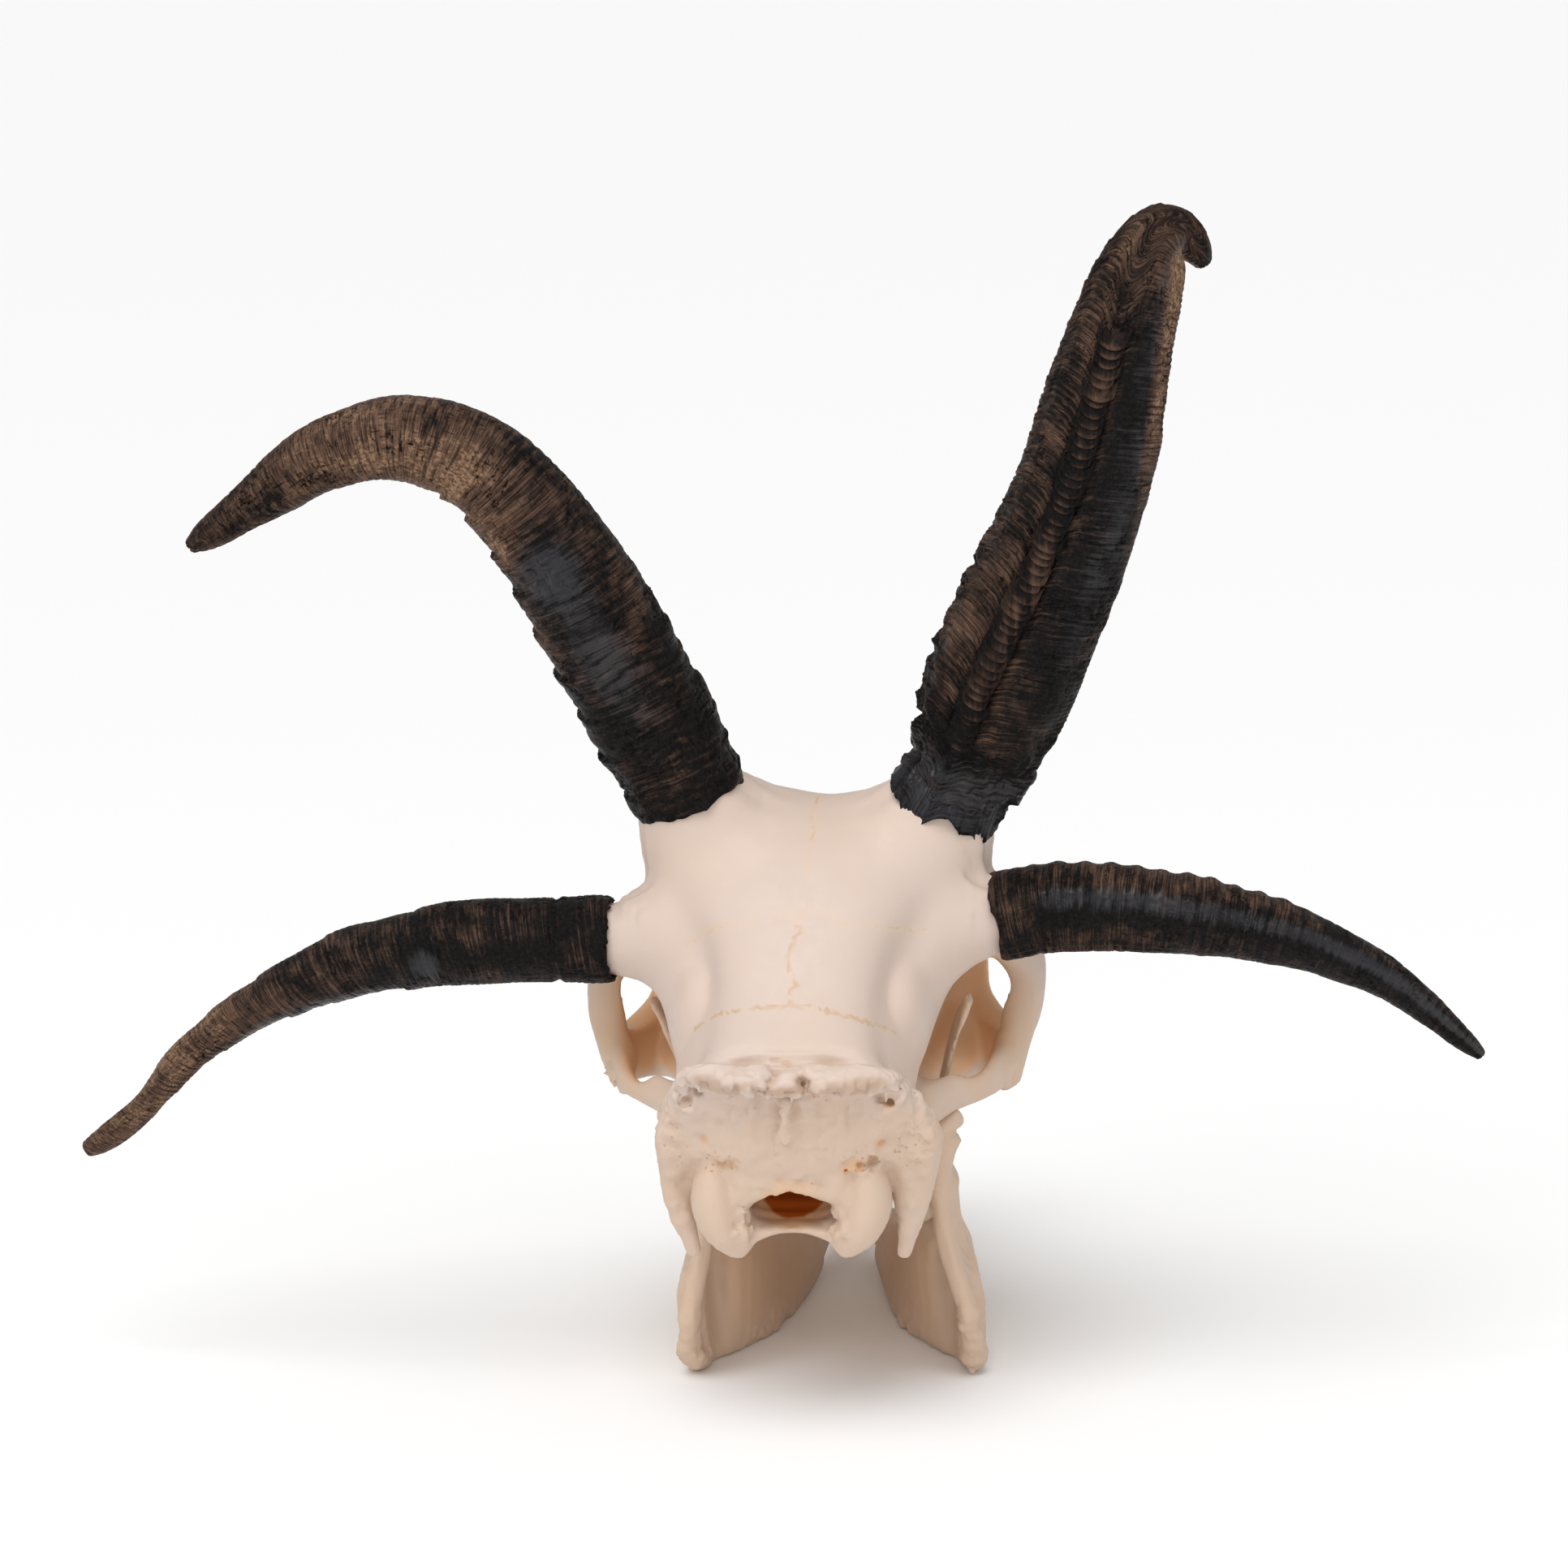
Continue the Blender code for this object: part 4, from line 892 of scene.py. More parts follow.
def tear(bone):
    """Ragged edges on the crest, behind the ears, on the arches and the splints, and small holes."""
    bone.weather((0, 7, 111), (33, 10, 7), 5.2, 1.5, 101)
    bone.weather((0, 8, 108.5), (32, 8, 4.5), 2.6, 1.6, 102)
    bone.weather((0, 0, 97), (30, 9, 14), 6.0, 1.1, 111)
    for side in (1, -1):
        bone.weather((side * 33, -10, 95), (8, 14, 18), 3.6, 1.05, 103)
        bone.weather((side * 27, -3, 107), (8, 10, 8), 3.0, 1.0, 105)
        bone.weather((side * 30, -14, 72), (6, 9, 22), 6.0, 1.2, 107)
        bone.weather((side * 53, -72, 83), (8, 9, 8), 3.2, 1.8, 109)
        bone.weather((side * 6, -214, 66), (7, 10, 5), 3.5, 0.9, 113)
        bone.weather((side * 12, -4, 70), (5, 8, 9), 2.4, 1.4, 121)
    bone.weather((-18.5, -4.5, 86.8), (9, 6, 5), 2.2, 3.0, 115)
    bone.weather((16.0, -3.5, 86.4), (6, 5, 3.5), 2.2, 1.8, 117)
    bone.weather((0, -2, 80), (14, 7, 5), 3.0, 1.2, 119)
    for place, size in (((26.4, -1.0, 105.3), 1.1), ((22.3, -2.8, 93), 1.1), ((-24.3, -4.5, 91.4), 1.1),
                        ((-22.0, -4.5, 87.6), 0.9), ((-26.6, -2.0, 104.5), 1.0), ((-18.6, -3.4, 85.6), 0.9)):
        bone.egg(place, (size * 1.2, 2.2, size), blend=0.6, dig=True)
    for side in (1, -1):
        bone.egg((side * 28.6, -141, 86), (2.0, 3.4, 2.0), yaw=side * -14, blend=1.0, dig=True)
        bone.egg((side * 31, -100, 127), (2.2, 2.6, 5), blend=1.0, dig=True)


def zigzag(line, step, swing, seed):
    """A seam's wandering line: through places, swinging from side to side at each step."""
    rows = catmull(line, 12)
    length = np.concatenate([[0], np.cumsum(np.linalg.norm(np.diff(rows, axis=0), axis=1))])
    count = max(4, int(length[-1] / step))
    at = np.linspace(0, length[-1], count)
    places = np.stack([np.interp(at, length, column) for column in rows.T], 1)
    outward = unit(places - np.array([0.0, -60.0, 100.0]))
    sideways = unit(np.cross(np.gradient(places, axis=0), outward))
    chance = np.stack([at + seed * 31.0, at * 0, at * 0], 1)
    shift = np.where(np.arange(count) % 2, 1, -1) * swing * (0.75 + 0.55 * grain(chance, step * 1.7, seed))
    return places + sideways * (shift + 0.6 * swing * grain(chance, 6.0, seed + 1))[:, None]


def lay_on(points, line):
    """A line's places moved to the nearest points of a surface."""
    laid = []
    for place in line:
        close = points[np.abs(points - place).max(1) < 7]
        if len(close):
            place = close[np.linalg.norm(close - place, axis=1).argmin()]
        laid.append(place)
    return np.array(laid)


def cranium_sculpt(points, normals):
    """Slow waves over the plates, fine lumps on the crest and behind the ears, the crest drawn in."""
    amount = grain(points, 16, 21) * 0.45 + grain(points, 6, 22) * 0.10
    rear = (rise_from(points[:, 1], -14, -6) * rise_from(points[:, 2], 116, 110)
            * rise_from(points[:, 2], 84, 88))
    amount += rear * (0.3 - np.abs(grain(points, 2.6, 23))) * 0.9
    crest = np.clip(1 - line_distance(points, [(27, 0, 111), (20, 6, 112), (9, 9, 111), (0, 8, 109),
                                               (-9, 9, 111), (-20, 6, 111), (-27, 0, 110)]) / 7.5, 0, 1)
    amount += crest * (0.3 - np.abs(grain(points, 1.5, 24))) * 1.0
    for side in (1, -1):
        lumps = 0.3 - np.abs(grain(points, 1.6, 26))
        amount += fall(points, (side * 32, -10, 94), (9, 14, 20)) * lumps * 0.6
        amount -= fall(points, (side * 12.5, 1.0, 117.0), (8.5, 7, 4.5)) * 1.3
    moved = normals * amount[:, None]
    pull = rise_from(points[:, 1], -1, 7) * rise_from(points[:, 2], 98, 106)
    moved[:, 1] -= 3.3 * pull
    moved[:, 2] += 0.8 * pull
    return moved


def cranium_marks(points, field):
    """Seams, stained hollows, rough patches and painted shade in creases and under the crest, for the bone's
    material.
    """
    seam = np.full(len(points), NO_SEAM)
    band = np.full(len(points), NO_SEAM)
    for number, (line, step, swing, strength) in enumerate(SEAMS):
        wander = lay_on(points, zigzag(line, step, swing, 80 + number))
        away = line_distance(points, wander, 5.0)
        seam = np.minimum(seam, away + (1 - strength) * 0.5)
        band = np.minimum(band, line_distance(points, lay_on(points, catmull(line, 4)), 5.0)
                          + (0.3 if strength else 0.0))
    rough = np.zeros(len(points))
    for centre, radii in (((0, 2, 108), (34, 14, 9)), ((30, -10, 92), (12, 16, 22)),
                          ((-31, -10, 92), (12, 16, 22)), ((18, -5, 87), (14, 9, 9)),
                          ((-18, -5, 87), (14, 9, 9))):
        rough = np.maximum(rough, fall(points, centre, radii) * 1.5)
    stain = 0.16 * rise_from(points[:, 2], 118, 96)
    stain = np.maximum(stain, 2.6 * fall(points, (0, -18, 76), (17, 21.5, 16.5)))
    for side in (1, -1):
        orbit = np.linalg.norm((points - (side * 47, -97.5, 105.0)) / (27, 22, 23.5), axis=1)
        temple = np.linalg.norm((points - (side * 42, -74, 94)) / (16.5, 30, 30), axis=1)
        inside = ((0.25 + 0.75 * rise_from(points[:, 0] * side, 54, 45))
                  * rise_from(np.minimum(orbit, temple), 1.14, 0.98))
        socket = np.minimum(2.6 * inside * fall(points, (side * 44, -88, 100), (29, 45, 36)), 0.62)
        stain = np.maximum(stain, socket)
        stain = np.maximum(stain, 0.46 * fall(points, (side * 54, -78, 96), (14, 24, 32)))
        stain = np.maximum(stain, 0.55 * fall(points, (side * 17, -4, 86.5), (7, 6, 4)))
    for place in ((26.4, 0.5, 105.3), (22.3, -2.8, 93), (-24.3, -4.5, 91.4), (-22.0, -4.0, 87.6),
                  (-26.6, -1.0, 104.5), (-18.4, -3.4, 85.4), (-15.0, -3.4, 84.6), (20.5, -9.0, 128.5)):
        stain = np.maximum(stain, 1.25 * fall(points, place, (2.0, 4.5, 1.8)))
    crease = field.crowding(points, 3.6)
    # Painted shadow under the crest's overhang: more painted shade and a browner tint there.
    for side in (1, -1):
        under = fall(points, (side * 15, 3.0, 103.5), (17, 8, 6.0))
        crease += 0.20 * under
        stain = np.maximum(stain, 0.34 * under)
    # Two thin streaks on top of the crest are added to the painted shade.
    for place in ((4.1, 1.5, 117.4), (0.4, 2.0, 116.6)):
        crease += 0.7 * fall(points, place, (1.1, 4, 1.1))
    return {"crease": crease, "stain": np.clip(stain, 0, 1.1), "rough": np.clip(rough, 0, 1),
            "seam": seam, "band": band}


skull = BoneField((-76, -228, 44), (76, 20, 186), CRANIUM_CELL)
braincase(skull)
face(skull)
occiput(skull)
cheek_arch(skull)
horn_cores(skull)
skull.soften((-46, -72, 92), (46, 2, 170), 3, 7.0)
skull.soften((-50, -150, 104), (50, -62, 172), 3, 8.0)
for side in (1, -1):
    skull.egg((side * 25.8, -43, 114), (9.4, 17.0, 16.5), blend=2.0)
cavities(skull)
tear(skull)
cranium = bone_piece("cranium_bone", skull, tip_cranium, CRANIUM_FACES, cranium_sculpt, cranium_marks,
                     ivory_bone)
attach(cranium, "root")
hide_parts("cranium")


# The upper cheek teeth
# Six in each side of the upper jaw, of enamel over dentine, broader than the lower ones, with
# strong ribs outside. Each stands in its socket in the jaw's edge.

for jaw_name, side in (("left", 1), ("right", -1)):
    low, high = sorted((side * 12.0, side * 42.0))
    row = BoneField((low, -168, 48), (high, -84, 80), TOOTH_CELL)
    front = -91.0
    for number, length in enumerate(CHEEK_TEETH):
        middle = front - length / 2
        front -= length
        out = 30.6 - 0.135 * max(0.0, -middle - 108.0) - 0.10 * max(0.0, middle + 102.0)
        cheek_tooth(row, side, middle, out, length, 5.2 - 0.45 * number, 66.0, 54.8, 0.2)
    teeth = teeth_piece("upper_cheek_teeth_" + jaw_name, row, tip_cranium, worn_enamel)
    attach(teeth, "root")
    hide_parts("cranium")


# The horn sheaths
# Hollow sheaths of dark keratin, grown a ring at a time over the bony cores and slipped down
# on them. Rings run round them, fibres along them, and their open ends are torn and flaky.

HORN_POINTS, HORN_SIDES, HORN_STEPS = 97000, 180, 24
SHEATH_WALL, RIM_DEPTH = 2.2, 9.0
GROOVE_ANGLE, GROOVE_TURN = 1.27, 0.24


def turned(angle, centre):
    """How far an angle is from another, from -pi to pi."""
    return (angle - centre + math.pi) % (2 * math.pi) - math.pi


def near_angle(angle, centre, reach):
    """1 at an angle round the horn, falling softly to 0 at a reach from it."""
    away = np.clip(1 - np.abs(turned(angle, centre)) / reach, 0, 1)
    return away * away * (3 - 2 * away)


def spots(share, angle, places):
    """Soft spots on a horn: share of its length, angle, the two reaches and the strength."""
    total = np.zeros(len(angle))
    for at, centre, long_reach, side_reach, strength in places:
        total += strength * np.exp(-((share - at) / long_reach) ** 2
                                   - (turned(angle, centre) / side_reach) ** 2)
    return total


def upper_left_rim(angle, around):
    """Torn almost level, with a sharp flap hanging on the outer side and one on the inner."""
    torn = grain(around, 5.0, 41) * 0.9 + grain(around, 1.8, 42) * 0.5
    return torn - 3.4 * near_angle(angle, 6.2, 0.22) - 2.6 * near_angle(angle, 3.0, 0.35)


def upper_left_relief(along, angle, straight, full):
    """Worn steps down the inner side, a torn scar half way up and a split in the tip."""
    share = along / full
    step = ((along - 8.0) / 13.6) % 1.0
    steps = near_angle(angle, 0.0, 1.5) * (step - 0.5) * 1.5 * rise_from(share, 0.66, 0.56)
    ridge = ((along - 3.0) / 9.3 + 0.15 * grain(straight, 14, 43)) % 1.0
    edge = near_angle(angle, 3.3, 1.1) * (ridge - 0.5) * 0.7 * rise_from(share, 0.40, 0.30)
    scar = spots(share, angle, [(0.40, 1.05, 0.030, 0.50, -1.6), (0.425, 1.6, 0.018, 0.4, -1.0)])
    scar = scar * (1 + 0.8 * grain(straight, 2.2, 44))
    split = -1.3 * near_angle(angle, 1.3, 0.30) * rise_from(share, 0.88, 0.92)
    base = np.clip(1 - along / 70.0, 0, 1)
    lumps = grain(straight, 12, 45) * 0.5 + grain(straight, 4.0, 46) * (0.18 + 0.6 * base)
    return steps + edge + scar + split + lumps - 0.5


def upper_left_course(along, angle, full):
    """Rings sag on the rear face."""
    return along - 3.2 * np.sin(angle) * np.clip(1 - along / full, 0, 1)


def upper_left_tone(along, angle, full):
    """Near-black at the base, brown round the bend, with a glossier coat and painted bluish-grey sheen down
    the middle.
    """
    share = along / full
    brown = np.interp(share, [0, 0.3, 0.45, 0.56, 0.75, 0.9, 1], [0.02, 0.18, 0.36, 1.12, 0.90, 0.42, 0.55])
    brown += spots(share, angle, [(0.455, 0.75, 0.045, 0.34, 0.95), (0.40, 1.3, 0.035, 0.6, -0.45),
                                  (0.56, 2.7, 0.09, 0.7, -0.75), (0.30, 0.35, 0.05, 0.5, 0.42),
                                  (0.33, 2.5, 0.10, 0.5, 0.22), (0.60, 1.2, 0.05, 0.6, 0.15)])
    sheen = spots(share, angle, [(0.27, 1.5, 0.13, 0.55, 0.8), (0.40, 1.3, 0.05, 0.7, 0.9),
                                 (0.72, 2.2, 0.2, 0.6, 0.25)])
    return brown, sheen


def upper_right_rim(angle, around):
    """Torn into hanging tongues, with a notch between them."""
    torn = grain(around, 5.5, 51) * 1.8 + grain(around, 1.8, 52) * 0.8
    return (torn - 6.0 * near_angle(angle, 1.15, 0.42) + 2.4 * near_angle(angle, 1.75, 0.35)
            - 2.4 * near_angle(angle, 2.6, 0.5))


def upper_right_relief(along, angle, straight, full):
    """A deep groove down the rear face, a keel outside, flaky edges and a crumpled base."""
    share = along / full
    groove = near_angle(angle, GROOVE_ANGLE + GROOVE_TURN * share, 0.36) * 2.6 * rise_from(share, 0.84, 0.70)
    groove = groove * rise_from(along, 14, 26)
    bank = (near_angle(angle, GROOVE_ANGLE + GROOVE_TURN * share - 0.62, 0.34) * 0.9
            * rise_from(share, 0.84, 0.70))
    keel = near_angle(angle, math.pi, 0.6) * 0.9
    torn_edge = 25 + 6 * grain(straight * np.array([1, 1, 0]), 9, 53) - 13 * near_angle(angle, 3.1, 0.9)
    neck = (1 - rise_from(along, torn_edge - 0.8, torn_edge + 0.6)) * 2.1
    crumple = rise_from(along, 46, 18)
    folds = np.abs(grain(straight * np.array([1, 1, 0.7]), 6.0, 54)) * 3.0 + grain(straight, 2.6, 55) * 0.9
    flakes = (near_angle(angle, 0.1, 0.9) * rise_from(share, 0.60, 0.35)
              * (grain(straight, 2.4, 56) * 1.3 + 0.2))
    ledge = (near_angle(angle, 0.75, 0.6) * (1 - rise_from(along, 55.5, 57.0))
             * rise_from(along, 38, 54) * 1.3)
    ribs = near_angle(angle, 0.4, 0.9) * (((along + 6 * np.cos(angle)) / 5.2) % 1.0 - 0.5) * 0.6
    lumps = grain(straight, 13, 57) * 0.5 + grain(straight, 5, 58) * 0.22
    return keel + bank + flakes + ledge + ribs + lumps - groove - neck - crumple * (folds - 0.6) - 0.7


def upper_right_course(along, angle, full):
    """Rings hang in the groove and arch over the bank beside it."""
    share = along / full
    centre = GROOVE_ANGLE + GROOVE_TURN * share
    return (along + 4.2 * near_angle(angle, centre, 0.40) - 3.4 * near_angle(angle, centre - 0.75, 0.75)
            - 2.0 * np.sin(angle - 0.8))


def upper_right_tone(along, angle, full):
    """Brown rings inside the groove's line, black outside it and a tan keel near the top."""
    share = along / full
    centre = GROOVE_ANGLE + GROOVE_TURN * share
    brown = np.interp(share, [0, 0.12, 0.2, 0.45, 0.7, 0.88, 1], [0.06, 0.10, 0.30, 0.38, 0.40, 0.52, 0.42])
    brown -= (near_angle(angle, centre + 0.80, 0.75) * rise_from(share, 0.16, 0.28)
              * rise_from(share, 0.84, 0.74) * 0.50)
    brown -= near_angle(angle, centre, 0.34) * rise_from(share, 0.86, 0.80) * 0.30
    brown += near_angle(angle, 2.65, 0.62) * rise_from(share, 0.50, 0.66) * 0.95
    brown += spots(share, angle, [(0.50, 2.15, 0.035, 0.22, 0.5), (0.34, 2.1, 0.05, 0.45, 0.35),
                                  (0.40, 2.6, 0.12, 0.4, -0.35), (0.60, 2.3, 0.10, 0.35, -0.45),
                                  (0.30, 0.75, 0.03, 0.4, 0.40), (0.86, 1.2, 0.05, 0.8, 0.2)])
    # Sheen on the outer face and over the base: a glossier coat and a painted bluish-grey sheen.
    sheen = (near_angle(angle, 2.3, 0.7) * rise_from(share, 0.22, 0.36) * 0.55
             + rise_from(share, 0.16, 0.06) * 0.8)
    return brown, sheen


def lower_left_rim(angle, around):
    """Cut by many fine splits, one side a little longer."""
    return grain(around, 6.0, 61) * 0.8 + np.minimum(grain(around, 1.1, 62), 0.1) * 1.3 - 2.4


def lower_left_relief(along, angle, straight, full):
    """A collar at the open end, then sleeves that slip out of one another in slanting steps."""
    collar = 0.35 * (1 - rise_from(along, 11.0, 12.2)) - 0.55 * np.exp(-((along - 12.8) / 0.9) ** 2)
    amount = collar
    for place, slant, drop in ((53, 4.0, 0.6), (78, 3.0, 0.5), (97, -2.0, 0.5), (118, 2.0, 0.4),
                               (141, 2.0, 0.3)):
        edge = place + slant * np.cos(angle - 0.6) + 1.2 * grain(straight * np.array([1, 1, 0]), 7, 63)
        swelling = rise_from(along, edge - 16, edge - 1) * (1 - rise_from(along, edge - 0.5, edge + 0.5))
        amount = amount + drop * swelling
    scratch = (near_angle(angle, 1.2, 1.4) * (1 - rise_from(along, 9, 11))
               * grain(straight * np.array([4, 4, 0.3]), 4.0, 64) * 0.3)
    lumps = grain(straight, 10, 65) * 0.3 + grain(straight, 3.0, 66) * 0.18
    return amount + scratch + lumps - 0.7


def lower_left_course(along, angle, full):
    """Rings lean a little across the horn."""
    return along + 1.6 * np.cos(angle - 0.4)


def lower_left_tone(along, angle, full):
    """Black at the collar, browner from sleeve to sleeve."""
    share = along / full
    brown = np.interp(share, [0, 0.06, 0.08, 0.3, 0.5, 0.75, 1], [0.00, 0.02, 0.08, 0.14, 0.48, 1.08, 0.85])
    brown += near_angle(angle, 2.6, 0.9) * 0.15
    brown += spots(share, angle, [(0.28, 1.5, 0.03, 0.5, -0.3), (0.52, 2.4, 0.06, 0.8, -0.3),
                                  (0.70, 0.4, 0.1, 0.8, -0.35)])
    # Sheen spots: a glossier coat and a painted bluish-grey sheen.
    sheen = spots(share, angle, [(0.27, 1.3, 0.025, 0.5, 1.0), (0.50, 0.5, 0.22, 0.55, 0.9),
                                 (0.40, 2.4, 0.1, 0.5, 0.4)])
    return brown, sheen


def lower_right_rim(angle, around):
    """Torn in small waves."""
    return grain(around, 6.0, 71) * 0.8 + grain(around, 1.6, 72) * 0.5


def lower_right_relief(along, angle, straight, full):
    """Low even swellings over the top of the first half, and thin ridges along the lower edge."""
    swell = np.sin(2 * math.pi * (along - 3.0) / 6.6 + 0.4 * np.sin(angle)) * 0.42
    swell = swell * near_angle(angle, 0.3, 1.9) * rise_from(along, 9, 16) * rise_from(along, 92, 70)
    ridges = np.sin(turned(angle, 2.6) * 26) * 0.3 * near_angle(angle, 2.6, 0.7) * rise_from(along, 55, 40)
    lumps = grain(straight, 11, 73) * 0.3 + grain(straight, 3.4, 74) * 0.12
    collar = -0.35 * np.exp(-((along - 10.5) / 1.2) ** 2)
    return swell + ridges + lumps + collar - 0.65


def lower_right_course(along, angle, full):
    """Rings bow a little on the rear face."""
    return along + 1.2 * np.sin(angle)


def lower_right_tone(along, angle, full):
    """Black, browner along the top and the lower edge, with a glossier coat and painted bluish-grey sheen on
    the rear face.
    """
    share = along / full
    brown = np.interp(share, [0, 0.05, 0.08, 0.45, 0.6, 1], [0.12, 0.14, 0.18, 0.26, 0.16, 0.20])
    brown += near_angle(angle, 0.2, 1.1) * 0.30 * rise_from(share, 0.62, 0.45)
    brown += near_angle(angle, 2.7, 0.6) * 0.30 * rise_from(share, 0.30, 0.20)
    brown -= near_angle(angle, 1.6, 0.6) * 0.30 * rise_from(share, 0.06, 0.10)
    sheen = (near_angle(angle, 1.2, 0.55) * 0.9 * rise_from(share, 0.05, 0.12)
             + rise_from(share, 0.5, 0.7) * 0.25)
    return brown, sheen


def horn_frames(stations, steps):
    """A horn's middle line: lengths, and one row of place, side, top, radii and direction for each."""
    rows = catmull(stations, steps)
    ahead = unit(np.gradient(rows[:, :3], axis=0))
    side = unit(np.cross((0.0, 1.0, 0.0), ahead))
    length = np.concatenate([[0], np.cumsum(np.linalg.norm(np.diff(rows[:, :3], axis=0), axis=1))])
    return length, np.concatenate([rows[:, :3], side, np.cross(ahead, side), rows[:, 3:5], ahead], axis=1)


def horn_ring(length, table, along, angle, swell):
    """Points round a horn at a length for each angle, swollen or shrunk by an amount."""
    inside = np.clip(along, 0, length[-1])
    at = np.stack([np.interp(inside, length, column) for column in table.T], 1)
    centre = at[:, :3] + at[:, 11:14] * (along - inside)[:, None]
    return (centre + at[:, 3:6] * ((at[:, 9] + swell) * np.cos(angle))[:, None]
            + at[:, 6:9] * ((at[:, 10] + swell) * np.sin(angle))[:, None])


def write_vectors(mesh, name, vectors):
    """Keep one vector for each vertex, for nodes to read."""
    made = mesh.attributes.new(name, 'FLOAT_VECTOR', 'POINT')
    made.data.foreach_set("vector", vectors.astype(np.float32).ravel())


def horn_mesh(name, stations, rim, relief, course, tone):
    """A sheath as rings of points: inner wall, torn rim, outer face and closed tip."""
    length, table = horn_frames(stations, HORN_STEPS)
    full = length[-1]
    angle = 2 * math.pi * np.arange(HORN_SIDES) / HORN_SIDES
    radius = table[:, 9:11].mean() * 1.15
    around = np.stack([np.cos(angle) * radius, np.sin(angle) * radius, np.zeros(HORN_SIDES)], 1)
    start = rim(angle, around)
    places, lines, marks = [], [], []
    last_row = HORN_POINTS // HORN_SIDES - 1
    rings = [(start * 0.2 + RIM_DEPTH, -SHEATH_WALL - 1.6), (start + 1.2, -SHEATH_WALL),
             (start + 0.2, -SHEATH_WALL * 0.7)]
    rings += [(start + (full * 0.999 - start) * number / last_row, None) for number in range(last_row + 1)]
    for along, swell in rings:
        straight = np.stack([around[:, 0], around[:, 1], along], 1)
        if swell is None:
            swell = relief(along, angle, straight, full) * np.clip((full - along) / 14.0, 0.25, 1)
            swell -= np.exp(-(along - start) / 0.8) * 0.8
        places.append(horn_ring(length, table, along, angle, swell))
        lines.append(straight)
        brown, sheen = tone(np.clip(along, 0, full), angle, full)
        marks.append(np.stack([course(along, angle, full) * 0.001, brown, sheen], 1))
    count = len(places)
    grid = np.arange(count * HORN_SIDES).reshape(count, HORN_SIDES)
    onward = np.roll(grid, -1, axis=1)
    quads = np.stack([grid[:-1], onward[:-1], onward[1:], grid[1:]], axis=-1).reshape(-1, 4)
    cap, tip = count * HORN_SIDES, count * HORN_SIDES + 1
    first = np.stack([onward[0], grid[0], np.full(HORN_SIDES, cap)], 1)
    last = np.stack([grid[-1], onward[-1], np.full(HORN_SIDES, tip)], 1)
    points = np.concatenate(places + [places[0].mean(0)[None], places[-1].mean(0)[None]])
    straight = np.concatenate(lines + [[[0, 0, RIM_DEPTH], [0, 0, full]]])
    marks = np.concatenate(marks + [marks[0].mean(0)[None], marks[-1].mean(0)[None]])
    mesh = bpy.data.meshes.new(name)
    mesh.from_pydata(to_row(points).tolist(), [], quads.tolist() + first.tolist() + last.tolist())
    write_vectors(mesh, "straight", straight * 0.001)
    for number, mark in enumerate(("course", "brown", "sheen")):
        write_mark(mesh, mark, marks[:, number])
    mesh.update()
    return new_object(name, mesh)


def start_tree(name, taken, given, numbers):
    """A new geometry node tree: what makes its nodes, and a wire for each of its inputs."""
    tree = bpy.data.node_groups.new(name, 'GeometryNodeTree')
    sockets = tree.interface
    sockets.new_socket(taken, in_out='INPUT', socket_type='NodeSocketGeometry')
    for label, value in numbers:
        sockets.new_socket(label, in_out='INPUT', socket_type='NodeSocketFloat').default_value = value
    sockets.new_socket("Horn", in_out='INPUT', socket_type='NodeSocketMaterial')
    sockets.new_socket(given, in_out='OUTPUT', socket_type='NodeSocketGeometry')
    nodes = Nodes(tree)
    inputs = tree.nodes.new("NodeGroupInput").outputs
    return nodes, [Wire(nodes, inputs[number]) for number in range(len(numbers) + 2)]


def end_tree(nodes, geometry, horn):
    """Give a tree's result its material and lead it out."""
    done = nodes.make("GeometryNodeSetMaterial", None, {"Geometry": geometry, "Material": horn})
    end = nodes.tree.nodes.new("NodeGroupOutput")
    nodes.tree.links.new(done.socket, end.inputs[0])
    return nodes.tree


def read(nodes, name, kind='FLOAT'):
    """A number or a vector kept on the points."""
    return nodes.make("GeometryNodeInputNamedAttribute", {"data_type": kind}, {0: name})


def keep(nodes, geometry, name, value, kind='FLOAT'):
    """A geometry with a number or a vector kept on its points."""
    return nodes.make("GeometryNodeStoreNamedAttribute", {"data_type": kind, "domain": 'POINT'},
                      {"Geometry": geometry, "Name": name, "Value": value})


def parts(nodes, vector, axes):
    """A vector's numbers along some of its axes."""
    return [nodes.make("ShaderNodeSeparateXYZ", None, {0: vector}, out=axis) for axis in axes]


